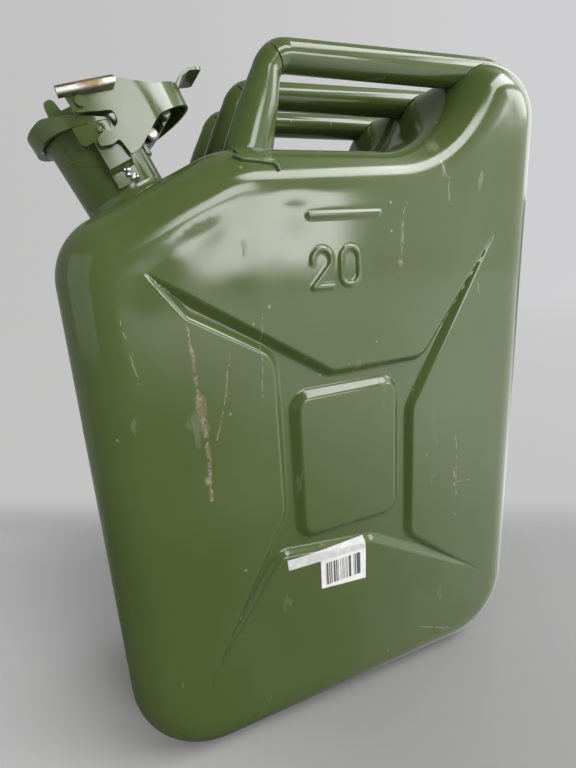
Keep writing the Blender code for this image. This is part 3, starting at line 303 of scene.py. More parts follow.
def worn_edges(nodes: Nodes, source: dict) -> Socket:
    """Mask the edges that are worn in patches.

    Args:
        nodes: The group's builder.
        source: Its inputs Place, Radius and Amount.

    Returns:
        The mask.
    """
    bevel = nodes.add("ShaderNodeBevel", {"Radius": source["Radius"]}, samples=4)
    flat = nodes.add("ShaderNodeNewGeometry").outputs["Normal"]
    edge = nodes.ramp(nodes.vector("DOT_PRODUCT", bevel.outputs[0], flat), *EDGE_SPAN)
    scale, detail, low, high = WEAR_PATCHES
    gate = nodes.math("ADD", nodes.noise(source["Place"], scale, detail), source["Amount"])
    return nodes.math("MULTIPLY", edge, nodes.ramp(gate, low, high), clamp=True)


def orange_peel(nodes: Nodes, source: dict) -> Socket:
    """Give sprayed paint its surface, a fine ripple on a broad sag.

    Args:
        nodes: The group's builder.
        source: Its inputs Place, Ripple and Sag.

    Returns:
        The height in metres.
    """
    fine = nodes.times(nodes.noise(source["Place"], RIPPLE_SCALE), source["Ripple"])
    broad = nodes.times(nodes.noise(source["Place"], SAG_SCALE, 1.0), source["Sag"])
    return nodes.math("ADD", fine, broad)


def specks(nodes: Nodes, source: dict) -> Socket:
    """Mask small pale scuffs and specks of dust, which lie in drifts.

    Args:
        nodes: The group's builder.
        source: Its inputs Place, Scale and Share.

    Returns:
        The mask.
    """
    place, scale = source["Place"], source["Scale"]
    spots = nodes.add("ShaderNodeTexVoronoi", {"Vector": place, "Scale": scale})
    dot = nodes.ramp(spots.outputs["Distance"], *SPECK_SPAN)
    pick = nodes.add("ShaderNodeSeparateColor", {0: spots.outputs["Color"]})
    few = nodes.math("LESS_THAN", pick.outputs[0], source["Share"])
    return nodes.times(nodes.times(dot, few), nodes.mask(place, SPECK_DRIFTS))


def scratch(nodes: Nodes, source: dict) -> Socket:
    """Mask one broken, shaky line on the face that looks along -Y.

    Args:
        nodes: The group's builder.
        source: Its inputs Place, Start, End, Width and Break.

    Returns:
        The mask.
    """
    place, start = source["Place"], source["Start"]
    noise = {"Vector": place, "Scale": WANDER_SCALE, "Detail": 3.0}
    wander = nodes.add("ShaderNodeTexNoise", noise)
    shift = nodes.vector("SUBTRACT", wander.outputs["Color"], (0.5, 0.5, 0.5))
    shaky = nodes.vector("MULTIPLY_ADD", shift, WANDER, place)
    flat = nodes.vector("MULTIPLY", shaky, (1.0, 0.0, 1.0))
    run = nodes.vector("SUBTRACT", source["End"], start)
    arm = nodes.vector("SUBTRACT", flat, start)
    along, length = (nodes.vector("DOT_PRODUCT", side, run) for side in (arm, run))
    share = nodes.math("DIVIDE", along, length, clamp=True)
    near = nodes.add("ShaderNodeVectorMath", {0: run, 3: share}, operation="SCALE").outputs[0]
    distance = nodes.vector("LENGTH", nodes.vector("SUBTRACT", arm, near))
    away = nodes.math("DIVIDE", distance, source["Width"])
    line = nodes.math("SUBTRACT", 1.0, away, clamp=True)
    broken = nodes.math("GREATER_THAN", nodes.noise(place, BREAK_SCALE, 3.0), source["Break"])
    front = nodes.math("LESS_THAN", nodes.split(place)[1], FRONT_Y)
    return nodes.times(nodes.times(line, broken), front)


# Finishes


@dataclass(frozen=True)
class Coat:
    """A finished material and the record's slot that it belongs to."""

    material: bpy.types.Material
    slot: Slot


@dataclass(frozen=True)
class Finish:
    """A finish, whose kinds say what feeds the shader."""

    look: Look
    slot: ClassVar[Slot] = Slot.PAINT

    def inputs(self, nodes: Nodes, place: Socket, effects: dict[str, Tree]) -> dict:
        """Build the nodes of the finish.

        Args:
            nodes: The builder of its tree.
            place: The object coordinates.
            effects: The shared shader groups by name.

        Returns:
            What feeds each input of the shader.
        """
        raise NotImplementedError

    def build(self, effects: dict[str, Tree]) -> Coat:
        """Make the coat.

        Args:
            effects: The shared shader groups by name.

        Returns:
            The finished coat.
        """
        material = bpy.data.materials.new(self.look.value)
        material.use_nodes = True
        nodes = Nodes(material.node_tree)
        inputs = self.inputs(nodes, nodes.place(), effects)
        nodes.feed(nodes.tree.nodes["Principled BSDF"], inputs)
        return Coat(material, self.slot)


@dataclass(frozen=True)
class Scratch:
    """A scratch on the front face, from one point to another in X and Z."""

    start: Pair
    end: Pair
    width: float
    gaps: float

    def mask(self, nodes: Nodes, tree: Tree, place: Socket) -> Socket:
        """Return the scratch's mask, made by the shared group."""
        start, end = ((x, 0.0, z) for x, z in (self.start, self.end))
        return nodes.group(
            tree, Place=place, Start=start, End=end, Width=self.width, Break=self.gaps
        )


@dataclass(frozen=True)
class PaintFinish(Finish):
    """Glossy sprayed paint over steel, with scuffs, specks, scratches and worn edges."""

    colour: Colour = (0.066, 0.095, 0.025, 1.0)
    faded: Colour = (0.079, 0.110, 0.036, 1.0)
    scuff: Colour = (0.30, 0.32, 0.22, 1.0)
    worn: Colour = (0.17, 0.13, 0.07, 1.0)
    primer: Colour = (0.30, 0.27, 0.18, 1.0)
    roughness: float = 0.14
    gloss_range: Pair = (0.8, 1.25)
    bare_roughness: float = 0.55
    ripple: float = 0.000009
    sag: float = 0.0003
    thickness: float = 0.00008
    edge_amount: float = 0.42
    speck_share: float = 0.25
    speck_cover: float = 0.8
    rub_cover: float = 0.16
    scratch_cover: float = 0.7
    fading: Pattern = Pattern(9.0, 3.0, 0.35, 0.7)
    rubbing: Pattern = Pattern(60.0, 5.0, 0.66, 0.74)
    rub_stretch: Point = (1.0, 1.0, 0.35)
    undercoat: Pattern = Pattern(300.0, 3.0, 0.42, 0.6)
    dulling: Pattern = Pattern(35.0, 4.0, 0.3, 0.75)
    scratches: tuple[Scratch, ...] = ()
    pale_scratches: tuple[Scratch, ...] = ()

    def inputs(self, nodes: Nodes, place: Socket, effects: dict[str, Tree]) -> dict:
        """Build the nodes of the paint. Args and Returns are those of the base."""
        colour = nodes.mix(nodes.mask(place, self.fading), self.colour, self.faded)
        dust = nodes.group(effects["specks"], Place=place, Share=self.speck_share)
        rubbed = nodes.mask(nodes.vector("MULTIPLY", place, self.rub_stretch), self.rubbing)
        wear = nodes.group(effects["worn_edges"], Place=place, Amount=self.edge_amount)
        pale = 0.0
        for line in self.pale_scratches:
            pale = nodes.math("MAXIMUM", pale, line.mask(nodes, effects["scratch"], place))
        for line in self.scratches:
            wear = nodes.math("MAXIMUM", wear, line.mask(nodes, effects["scratch"], place))
        for mask, cover in (
            (dust, self.speck_cover),
            (rubbed, self.rub_cover),
            (pale, self.scratch_cover),
        ):
            colour = nodes.mix(nodes.times(mask, cover), colour, self.scuff)
        under = nodes.mix(nodes.mask(place, self.undercoat), self.worn, self.primer)
        glossy, dull = (self.roughness * share for share in self.gloss_range)
        rough = nodes.blend(nodes.mask(place, self.dulling), glossy, dull)
        marks = nodes.math("MAXIMUM", wear, nodes.math("MAXIMUM", dust, rubbed))
        peel = nodes.group(effects["orange_peel"], Place=place, Ripple=self.ripple, Sag=self.sag)
        height = nodes.math("SUBTRACT", peel, nodes.times(wear, self.thickness))
        return {
            "Base Color": nodes.mix(wear, colour, under),
            "Roughness": nodes.blend(marks, rough, self.bare_roughness),
            "Normal": nodes.bump(height, 1.0),
        }


@dataclass(frozen=True)
class SteelFinish(Finish):
    """Bare zinc-coated steel, drawn along one direction, with a rubbed brownish patch."""

    slot: ClassVar[Slot] = Slot.STEEL
    colour: Colour = (0.55, 0.53, 0.48, 1.0)
    stained: Colour = (0.26, 0.19, 0.11, 1.0)
    roughness: float = 0.28
    gloss_range: Pair = (0.8, 1.4)
    stained_roughness: float = 0.5
    stained_metal: float = 0.75
    stretch: Point = (20.0, 400.0, 400.0)
    line_depth: float = 0.00002
    staining: Pattern = Pattern(260.0, 4.0, 0.55, 0.75)
    stain_centre: Point = (0.0, 0.0, 0.0)
    stain_radius: float = 0.0
    stain_edge: Pair = (1.6, 0.9)
    cover: float = 0.5
    cover_beside_stain: float = 0.4

    def inputs(self, nodes: Nodes, place: Socket, effects: dict[str, Tree]) -> dict:
        """Build the nodes of the steel. Args and Returns are those of the base."""
        lines = nodes.noise(nodes.vector("MULTIPLY", place, self.stretch), 1.0, 3.0)
        patches = nodes.noise(place, self.staining.scale, self.staining.detail)
        stain = nodes.ramp(patches, self.staining.low, self.staining.high)
        if self.stain_radius:
            away = nodes.vector("DISTANCE", place, self.stain_centre)
            ragged = nodes.math("MULTIPLY_ADD", patches, self.stain_radius, away)
            patch = nodes.ramp(ragged, *(edge * self.stain_radius for edge in self.stain_edge))
            faint = nodes.times(stain, self.cover_beside_stain)
            stain = nodes.math("MAXIMUM", faint, patch)
        else:
            stain = nodes.times(stain, self.cover)
        glossy, dull = (self.roughness * share for share in self.gloss_range)
        rough = nodes.blend(lines, glossy, dull)
        return {
            "Base Color": nodes.mix(stain, self.colour, self.stained),
            "Roughness": nodes.blend(stain, rough, self.stained_roughness),
            "Metallic": nodes.blend(stain, 1.0, self.stained_metal),
            "Normal": nodes.bump(lines, self.line_depth),
        }


@dataclass(frozen=True)
class RubberFinish(Finish):
    """Matte moulded rubber with a fine grain."""

    slot: ClassVar[Slot] = Slot.RUBBER
    colour: Colour = (0.02, 0.02, 0.02, 1.0)
    dusty: Colour = (0.06, 0.06, 0.055, 1.0)
    roughness: Pair = (0.55, 0.8)
    dusting: Pattern = Pattern(120.0, 4.0, 0.45, 0.7)
    grain_scale: float = 1500.0
    grain_depth: float = 0.00005

    def inputs(self, nodes: Nodes, place: Socket, effects: dict[str, Tree]) -> dict:
        """Build the nodes of the rubber. Args and Returns are those of the base."""
        dust = nodes.mask(place, self.dusting)
        return {
            "Base Color": nodes.mix(dust, self.colour, self.dusty),
            "Roughness": nodes.blend(dust, *self.roughness),
            "Normal": nodes.bump(nodes.noise(place, self.grain_scale), self.grain_depth),
        }


@dataclass(frozen=True)
class PaperFinish(Finish):
    """Paper or foil, plain or printed with upright bars of mixed widths in X and Z."""

    bars_x: Pair = (0.0, 0.0)
    bars_z: Pair = (0.0, 0.0)
    bar_step: float = 0.00055
    colour: Colour = (0.80, 0.80, 0.79, 1.0)
    # painted shade in the creases: the crease mask blends to this tone, darker than the paper, and
    # on the darker foil a painted sheen
    painted_crease_tone: Colour = (0.66, 0.66, 0.64, 1.0)
    ink: Colour = (0.08, 0.08, 0.08, 1.0)
    ink_share: float = 0.5
    roughness: Pair = (0.45, 0.6)
    creasing: Pattern = Pattern(180.0, 4.0, 0.3, 0.8)
    crease_depth: float = 0.00008

    def inputs(self, nodes: Nodes, place: Socket, effects: dict[str, Tree]) -> dict:
        """Build the nodes of the paper. Args and Returns are those of the base."""
        creases = nodes.noise(place, self.creasing.scale, self.creasing.detail)
        # The crease mask paints light into the colour: shade on the paper, a sheen on the foil.
        shade = nodes.ramp(creases, self.creasing.low, self.creasing.high)
        colour = nodes.mix(shade, self.colour, self.painted_crease_tone)
        if self.bars_x[1] > self.bars_x[0]:
            across, _, height = nodes.split(place)
            cell = nodes.math("FLOOR", nodes.math("DIVIDE", across, self.bar_step))
            pick = nodes.add("ShaderNodeTexWhiteNoise", {"W": cell}, noise_dimensions="1D")
            bar = nodes.math("GREATER_THAN", pick.outputs["Value"], self.ink_share)
            for value, (low, high) in ((across, self.bars_x), (height, self.bars_z)):
                bar = nodes.times(bar, nodes.math("GREATER_THAN", value, low))
                bar = nodes.times(bar, nodes.math("LESS_THAN", value, high))
            colour = nodes.mix(bar, colour, self.ink)
        return {
            "Base Color": colour,
            "Roughness": nodes.blend(creases, *self.roughness),
            "Normal": nodes.bump(creases, self.crease_depth),
        }


SCRATCHES = (
    Scratch((-0.1066, 0.3214), (-0.1056, 0.3052), 0.0010, 0.44),
    Scratch((-0.1056, 0.3052), (-0.1040, 0.2760), 0.0016, 0.46),
    Scratch((-0.1040, 0.2760), (-0.1028, 0.2560), 0.0036, 0.40),
    Scratch((-0.1028, 0.2560), (-0.1035, 0.2085), 0.0019, 0.43),
    Scratch((-0.1053, 0.2222), (-0.1051, 0.2208), 0.0030, 0.30),
    Scratch((-0.0826, 0.3020), (-0.0880, 0.2740), 0.0008, 0.46),
    Scratch((-0.0880, 0.2740), (-0.0960, 0.2476), 0.0006, 0.50),
    Scratch((0.0414, 0.3448), (0.0430, 0.3436), 0.0020, 0.35),
    Scratch((0.0973, 0.1801), (0.0990, 0.1650), 0.0010, 0.48),
)
PALE_SCRATCHES = (
    Scratch((0.0759, 0.4060), (0.0790, 0.3960), 0.0006, 0.40),
    Scratch((0.0815, 0.3960), (0.0823, 0.3819), 0.0006, 0.36),
    Scratch((0.0456, 0.3796), (0.0434, 0.3644), 0.0007, 0.44),
    Scratch((0.0434, 0.3644), (0.0448, 0.3560), 0.0006, 0.42),
    Scratch((0.0973, 0.2100), (0.1010, 0.1560), 0.0006, 0.47),
    Scratch((0.1010, 0.1690), (0.1139, 0.1671), 0.0005, 0.46),
    Scratch((0.1100, 0.3300), (0.1139, 0.3171), 0.0006, 0.46),
    Scratch((-0.1429, 0.3265), (-0.1380, 0.2900), 0.0005, 0.50),
    Scratch((0.0650, 0.0420), (0.0989, 0.0259), 0.0007, 0.47),
    Scratch((-0.0600, 0.3200), (-0.0640, 0.2700), 0.0004, 0.50),
)


def build_coats() -> dict[Look, Coat]:
    """Build the shared shader groups and every coat.

    Returns:
        The coats by their look.
    """
    effects = {
        tree.name: tree
        for tree in (
            shader_effect(worn_edges, "Mask", Place=tuple, Radius=0.0006, Amount=0.5),
            shader_effect(orange_peel, "Height", Place=tuple, Ripple=0.00001, Sag=0.0002),
            shader_effect(specks, "Mask", Place=tuple, Scale=90.0, Share=0.3),
            shader_effect(
                scratch, "Mask", Place=tuple, Start=tuple, End=tuple, Width=0.001, Break=0.4
            ),
        )
    }
    stain = {"stain_centre": (-0.136, -0.044, 0.4555), "stain_radius": 0.009}
    finishes = (
        PaintFinish(Look.FRONT, scratches=SCRATCHES, pale_scratches=PALE_SCRATCHES),
        PaintFinish(Look.BODY),
        PaintFinish(Look.CLOSURE, roughness=0.13, sag=0.00008, edge_amount=0.5),
        PaintFinish(Look.WELD, roughness=0.18, sag=0.0001, edge_amount=0.3),
        PaperFinish(Look.FOIL, colour=(0.52, 0.53, 0.52, 1.0)),
        PaperFinish(Look.LABEL, bars_x=(-0.0245, 0.0070), bars_z=(0.1160, 0.1345)),
        SteelFinish(Look.STEEL),
        SteelFinish(Look.STRIP, **stain),
        RubberFinish(Look.RUBBER),
    )
    return {finish.look: finish.build(effects) for finish in finishes}


# Geometry helpers


class Outline:
    """A closed outline of straight sides and round corners, seen counter-clockwise."""

    def __init__(self, corners: Sequence[Point], spacing: float) -> None:
        """Sample the outline.

        Args:
            corners: (x, z, radius) of each corner, in order.
            spacing: The largest step along the outline.
        """
        points: list[Vector] = []
        normals: list[Vector] = []
        places = [Vector(corner[:2]) for corner in corners]
        count = len(places)
        for i in range(count):
            here, radius = places[i], corners[i][2]
            into = (here - places[i - 1]).normalized()
            out_of = (places[(i + 1) % count] - here).normalized()
            turn = 1.0 if into.cross(out_of) > 0 else -1.0
            angle = into.angle(out_of)
            outward = Vector((into.y, -into.x))
            reach = radius * math.tan(angle / 2)
            centre = here - into * reach - outward * radius * turn
            steps = max(1, math.ceil(radius * angle / spacing)) if radius else 0
            for step in range(steps + 1):
                normal = Matrix.Rotation(turn * angle * step / max(steps, 1), 2) @ outward
                arm = normal * radius * turn
                self._extend(points, normals, centre + arm if radius else here, normal, spacing)
        self._extend(points, normals, points[0], normals[0], spacing)
        self.points = np.array([point[:] for point in points[:-1]])
        self.normals = np.array([normal[:] for normal in normals[:-1]])

    @staticmethod
    def _extend(
        points: list[Vector], normals: list[Vector], place: Vector, normal: Vector, spacing: float
    ) -> None:
        """Add a point, with others before it where it lies far from the last one.

        Args:
            points: The points so far.
            normals: Their normals.
            place: The new point.
            normal: Its normal.
            spacing: The largest step between points.
        """
        if points:
            last, gap = points[-1].copy(), (place - points[-1]).length
            steps = math.ceil(gap / spacing)
            for step in range(1, steps):
                points.append(last.lerp(place, step / steps))
                normals.append(normal.copy())
        points.append(place.copy())
        normals.append(normal.copy())

    def inset(self, distance: float) -> np.ndarray:
        """Return the outline moved inwards by a distance."""
        return self.points - self.normals * distance

    def shrunk(self, distance: float) -> "Outline":
        """Return a new outline, moved inwards by a distance."""
        smaller = copy.copy(self)
        smaller.points = self.inset(distance)
        return smaller

    def distance(self, places: np.ndarray) -> np.ndarray:
        """Measure how far each place is inside the outline.

        Args:
            places: Points, as X and Z.

        Returns:
            The distances, negative outside the outline.
        """
        best = np.full(len(places), np.inf)
        inside = np.zeros(len(places), bool)
        for start, end in zip(self.points, np.roll(self.points, -1, axis=0)):
            best = np.minimum(best, side_distance(places, start, end))
            crosses = (start[1] > places[:, 1]) != (end[1] > places[:, 1])
            run = end - start
            if run[1]:
                cross_x = start[0] + (places[:, 1] - start[1]) * run[0] / run[1]
                inside ^= crosses & (places[:, 0] < cross_x)
        return np.where(inside, best, -best)


def side_distance(places: np.ndarray, start: np.ndarray, end: np.ndarray) -> np.ndarray:
    """Return how far each place lies from the line between two points."""
    run, arm = end - start, places - start
    share = np.clip(arm @ run / max(run @ run, 1e-18), 0.0, 1.0)
    return np.hypot(*(arm - share[:, None] * run).T)


def path_distance(places: np.ndarray, path: Sequence[Pair]) -> np.ndarray:
    """Return how far each place lies from an open line of points."""
    path = np.array(path)
    return np.min([side_distance(places, *side) for side in zip(path, path[1:])], axis=0)


def soft_step(share: np.ndarray) -> np.ndarray:
    """Return a share from 0 to 1, eased at both ends."""
    return share * share * (3 - 2 * share)


def soft_ramp(distance: np.ndarray, width: float, blend: float) -> np.ndarray:
    """Return a straight ramp from 0 to 1 over a width, rounded at both ends.

    Args:
        distance: How far each point is into the ramp.
        width: The ramp's width.
        blend: The length over which each end is rounded.

    Returns:
        The ramp's value at each point.
    """

    def rounded(value: np.ndarray) -> np.ndarray:
        """Return the value where it is above 0 and 0 below, with a round bend between."""
        middle = np.clip(value, -blend, blend)
        return np.maximum(value - blend, 0.0) + (middle + blend) ** 2 / (4 * blend)

    return (rounded(distance) - rounded(distance - width)) / width


def new_object(name: str, data: bpy.types.ID) -> bpy.types.Object:
    """Put a mesh, a curve, a lamp or a camera in the scene under a name."""
    obj = bpy.data.objects.new(name, data)
    bpy.context.scene.collection.objects.link(obj)
    return obj


def mesh_object(name: str, verts: Iterable, faces: Iterable) -> bpy.types.Object:
    """Put a mesh of points and faces in the scene."""
    mesh = bpy.data.meshes.new(name)
    mesh.from_pydata([tuple(v) for v in verts], [], [tuple(f) for f in faces])
    mesh.update()
    return new_object(name, mesh)


def closed_object(name: str, verts: Iterable, faces: Iterable) -> bpy.types.Object:
    """Put a closed mesh in the scene, with its faces turned outwards."""
    obj = mesh_object(name, verts, faces)
    bm = bmesh.new()
    bm.from_mesh(obj.data)
    bmesh.ops.recalc_face_normals(bm, faces=bm.faces)
    bm.to_mesh(obj.data)
    bm.free()
    return obj


def ring_faces(count: int, rings: int, closed: bool = False) -> Faces:
    """Join rings of points with quads.

    Args:
        count: The number of points in a ring.
        rings: The number of rings, whose points follow one another.
        closed: Whether the last ring is joined to the first one.

    Returns:
        The faces.
    """
    faces = []
    for ring in range(rings if closed else rings - 1):
        base, after = ring * count, (ring + 1) % rings * count
        for i in range(count):
            j = (i + 1) % count
            faces.append((base + i, base + j, after + j, after + i))
    return faces


def closed_sheet(name: str, columns: int, first: Path, second: Path) -> bpy.types.Object:
    """Put a thin sheet in the scene, closed round its edge.

    Args:
        name: The piece's name.
        columns: The number of points in each row of a layer.
        first: The points of one layer, row by row.
        second: The points of the other layer.

    Returns:
        The sheet.
    """
    count, faces = len(first), []
    for row in range(0, count - columns, columns):
        for at in range(row, row + columns - 1):
            quad = (at, at + 1, at + columns + 1, at + columns)
            faces += [quad, tuple(count + i for i in reversed(quad))]
    ring = [*range(columns), *range(2 * columns - 1, count, columns)]
    ring += [*range(count - 2, count - columns - 1, -1), *range(count - 2 * columns, 0, -columns)]
    faces += [(a, count + a, count + b, b) for a, b in zip(ring, ring[1:] + ring[:1])]
    obj = closed_object(name, [*first, *second], faces)
    shade(obj)
    return obj


def evaluated_mesh(obj: bpy.types.Object) -> bpy.types.Mesh:
    """Return the mesh of an object with its modifiers applied."""
    graph = bpy.context.evaluated_depsgraph_get()
    return bpy.data.meshes.new_from_object(obj.evaluated_get(graph))


def settle(obj: bpy.types.Object) -> None:
    """Apply an object's modifiers and its place, so that it sits at the origin."""
    mesh = evaluated_mesh(obj)
    mesh.transform(obj.matrix_world)
    obj.modifiers.clear()
    obj.data = mesh
    obj.matrix_world = Matrix.Identity(4)


def shade(obj: bpy.types.Object, degrees: float = 35) -> None:
    """Shade an object smooth, with sharp edges above an angle."""
    obj.data.shade_smooth()
    obj.data.set_sharp_from_angle(angle=math.radians(degrees))


def place_piece(obj: bpy.types.Object, body: Body, coat: Coat, *replaced: str) -> None:
    """Give a finished piece its coat's material, its body and the nodes that it stands for.

    Args:
        obj: The piece, at the origin.
        body: The body that it rides on.
        coat: Its material and slot, of which only the material is put on the piece.
        replaced: CAD nodes that it stands for.
    """
    obj.data.materials.clear()
    obj.data.materials.append(coat.material)
    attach(obj, body.value)
    if replaced:
        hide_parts(*replaced)
    LOG.info("%s rides on %s, %d faces", obj.name, body.value, len(obj.data.polygons))


# The two pressed halves of the can


@dataclass
class PressedBody:
    """The two pressed shells, with their X-shaped channel, raised panel, bar and number."""

    coats: dict[Look, Coat]
    outline_step: float = 0.003
    base_radius: float = 0.063
    shoulder_radius: float = 0.039
    hump_radius: float = 0.041
    crest_radius: float = 0.0285
    seam_half_width: float = 0.009
    seam_slope: float = 0.003
    seam_depth: float = 0.0035
    channel_depth: float = 0.005
    channel_slope: float = 0.0048
    channel_radius: float = 0.012
    channel_shares: Path = (
        (-0.365, 0.838, 0.0),
        (-0.310, 0.775, 0.5),
        (-0.158, 0.702, 1.4),
        (-0.158, 0.443, 2.0),
        (-0.365, 0.139, 0.0),
        (-0.172, 0.359, 1.0),
        (0.052, 0.335, 1.0),
        (0.374, 0.184, 0.0),
        (0.160, 0.325, 0.9),
        (0.160, 0.575, 1.2),
        (0.371, 0.867, 0.0),
        (0.180, 0.670, 1.0),
        (-0.035, 0.668, 1.0),
    )
    panel_half: float = 0.044
    panel_low: float = 0.157
    panel_high: float = 0.268
    panel_radius: float = 0.014
    panel_slope: float = 0.0058
    panel_sink: float = 0.0005
    edge_blend: float = 0.0009
    bar_half: float = 0.0248
    bar_height: float = 0.3755
    bar_reach: float = 0.0032
    number_low: float = 0.3330
    number_high: float = 0.3560
    digit_half: float = 0.0066
    digit_spread: float = 0.001
    two_x: float = -0.0178
    two_turn: float = math.radians(215)
    nought_x: float = 0.0026
    stroke_reach: float = 0.0024
    proud: float = 0.0013
    crown: float = 0.0006
    crown_fade: float = 0.030
    uncrowned_centre: Pair = (-0.02, 0.345)
    uncrowned_reach: Pair = (0.13, 0.075)
    fine_step: float = 0.0011
    coarse_step: float = 0.0035
    fine_margin: float = 0.0024
    mark_margin: float = 0.001
    border_margin: float = 0.6
    sharp_degrees: float = 50
    dents: tuple[tuple[float, float, float, float], ...] = (
        (-0.094, 0.3740, 0.0110, 0.0011),
        (-0.034, 0.3770, 0.0100, 0.0008),
        (-0.122, 0.3500, 0.0120, 0.0005),
    )
    dent_fade: float = 0.012
    outline: Outline = field(init=False)
    border: Outline = field(init=False)
    channel: Outline = field(init=False)
    panel: Outline = field(init=False)

    def __post_init__(self) -> None:
        """Work out the outlines of the body, the channel and the panel."""
        half = CAN_WIDTH / 2
        run = (RECESS_HEIGHT - SHOULDER_EDGE_HEIGHT) / math.tan(SHOULDER_ANGLE)
        crest = HUMP_FOOT_X + (HUMP_HEIGHT - RECESS_HEIGHT) / math.tan(HUMP_ANGLE)
        body = (
            (-half, 0.0, self.base_radius),
            (half, 0.0, self.base_radius),
            (half, HUMP_HEIGHT, self.hump_radius),
            (crest, HUMP_HEIGHT, self.crest_radius),
            (HUMP_FOOT_X, RECESS_HEIGHT, BEND_RADIUS),
            (run - half, RECESS_HEIGHT, BEND_RADIUS),
            (-half, SHOULDER_EDGE_HEIGHT, self.shoulder_radius),
        )
        channel = [
            (x * CAN_WIDTH, z * RECESS_HEIGHT, r * self.channel_radius)
            for x, z, r in self.channel_shares
        ]
        side = self.panel_half
        panel = [
            (x, z, self.panel_radius)
            for z, ends in ((self.panel_low, (-side, side)), (self.panel_high, (side, -side)))
            for x in ends
        ]
        self.outline, self.channel, self.panel = (
            Outline(corners, self.outline_step) for corners in (body, channel, panel)
        )
        self.border = self.outline.shrunk(FACE_RADIUS)

    def marks(self) -> list[tuple[list[Pair], float]]:
        """Draw the raised bar and the number 20.

        Returns:
            The centre line of each stroke and how far it reaches to its sides.
        """
        low, high, half = self.number_low, self.number_high, self.digit_half
        bar = [(-self.bar_half, self.bar_height), (self.bar_half, self.bar_height)]
        bend = high - half
        two = [(self.two_x - half, bend - self.digit_spread)]
        for step in range(13):
            angle = math.pi - self.two_turn * step / 12
            two.append((self.two_x + half * math.cos(angle), bend + half * math.sin(angle)))
        two += [(self.two_x - half, low), (self.two_x + half + self.digit_spread, low)]
        nought, middle = [], (low + high) / 2
        for step in range(33):
            angle = 2 * math.pi * step / 32
            lift = (high - low) / 2 - half
            z = middle + (lift if math.sin(angle) > 0 else -lift)
            nought.append((self.nought_x + half * math.cos(angle), z + half * math.sin(angle)))
        nought.insert(17, (self.nought_x - half, middle))
        return [(bar, self.bar_reach), (two, self.stroke_reach), (nought, self.stroke_reach)]

    def relief(self, places: np.ndarray, marked: bool) -> np.ndarray:
        """Return how far the face stands proud of its plane at each place.

        Args:
            places: Points of the face, as X and Z.
            marked: Whether the face carries the bar, the number and the dents.

        Returns:
            The height at each place, negative in the channel.
        """
        sunk = soft_ramp(self.channel.distance(places), self.channel_slope, self.edge_blend)
        raised = soft_ramp(self.panel.distance(places), self.panel_slope, self.edge_blend)
        height = -self.channel_depth * sunk + (self.channel_depth - self.panel_sink) * raised
        away = (places - self.uncrowned_centre) / self.uncrowned_reach
        crowned = (1 - np.exp(-(away**2).sum(1))) * (1 - sunk)
        inside = self.border.distance(places)
        height -= self.crown * crowned * np.clip(inside / self.crown_fade, 0, 1)
        if marked:
            fade = soft_step(np.clip(inside / self.dent_fade, 0, 1))
            for x, z, reach, depth in self.dents:
                away = ((places[:, 0] - x) ** 2 + (places[:, 1] - z) ** 2) / (2 * reach**2)
                height -= depth * np.exp(-away) * fade
            for path, reach in self.marks():
                share = np.clip(1 - path_distance(places, path) / reach, 0.0, 1.0)
                height += self.proud * soft_step(share)
        return height

    def face_points(self, marked: bool, fine: float, coarse: float) -> np.ndarray:
        """Return points over the flat of the face, closer together round its features.

        Args:
            marked: Whether the face carries the bar and the number.
            fine: Spacing of the points round the features.
            coarse: Spacing of the points elsewhere.

        Returns:
            The points, as X and Z.
        """
        margin = self.fine_margin
        low, high = self.border.points.min(0), self.border.points.max(0)
        kept = []
        for step, near in ((fine, True), (coarse, False)):
            rows = np.arange(low[1], high[1], step * math.sqrt(3) / 2)
            columns = np.arange(low[0], high[0], step)
            across = columns[None, :] + step / 2 * (np.arange(len(rows))[:, None] % 2)
            up = np.broadcast_to(rows[:, None], across.shape)
            places = np.stack([across.ravel(), up.ravel()], 1)
            places = places[self.border.distance(places) > step * self.border_margin]
            close = np.zeros(len(places), bool)
            for edge, slope in ((self.channel, self.channel_slope), (self.panel, self.panel_slope)):
                inside = edge.distance(places)
                close |= (inside > -margin) & (inside < slope + margin)
            for path, _ in self.marks() if marked else ():
                close |= path_distance(places, path) < self.bar_reach + self.mark_margin
            kept.append(places[close if near else ~close])
        return np.concatenate(kept)

    def face(
        self, marked: bool, wall: float, fine: float, coarse: float
    ) -> tuple[np.ndarray, Faces, list[int]]:
        """Triangulate the flat of a face.

        Args:
            marked: Whether the face carries the bar and the number.
            wall: How far behind the outside the surface lies.
            fine: Spacing of the points round the features.
            coarse: Spacing of the points elsewhere.

        Returns:
            The points, the triangles and, for each point, its place on the border or -1.
        """
        count = len(self.border.points)
        loop = [(i, (i + 1) % count) for i in range(count)]
        places = np.concatenate([self.border.points, self.face_points(marked, fine, coarse)])
        out = delaunay_2d_cdt([Vector(p) for p in places], loop, [], CDT_INSIDE, CDT_EPSILON)
        places = np.array([p[:] for p in out[0]])
        origin = [next((i for i in ids if i < count), -1) for ids in out[3]]
        depth = CAN_DEPTH / 2 - wall + self.relief(places, marked)
        points = np.stack([places[:, 0], -depth, places[:, 1]], 1)
        return points, [tuple(f) for f in out[2]], origin

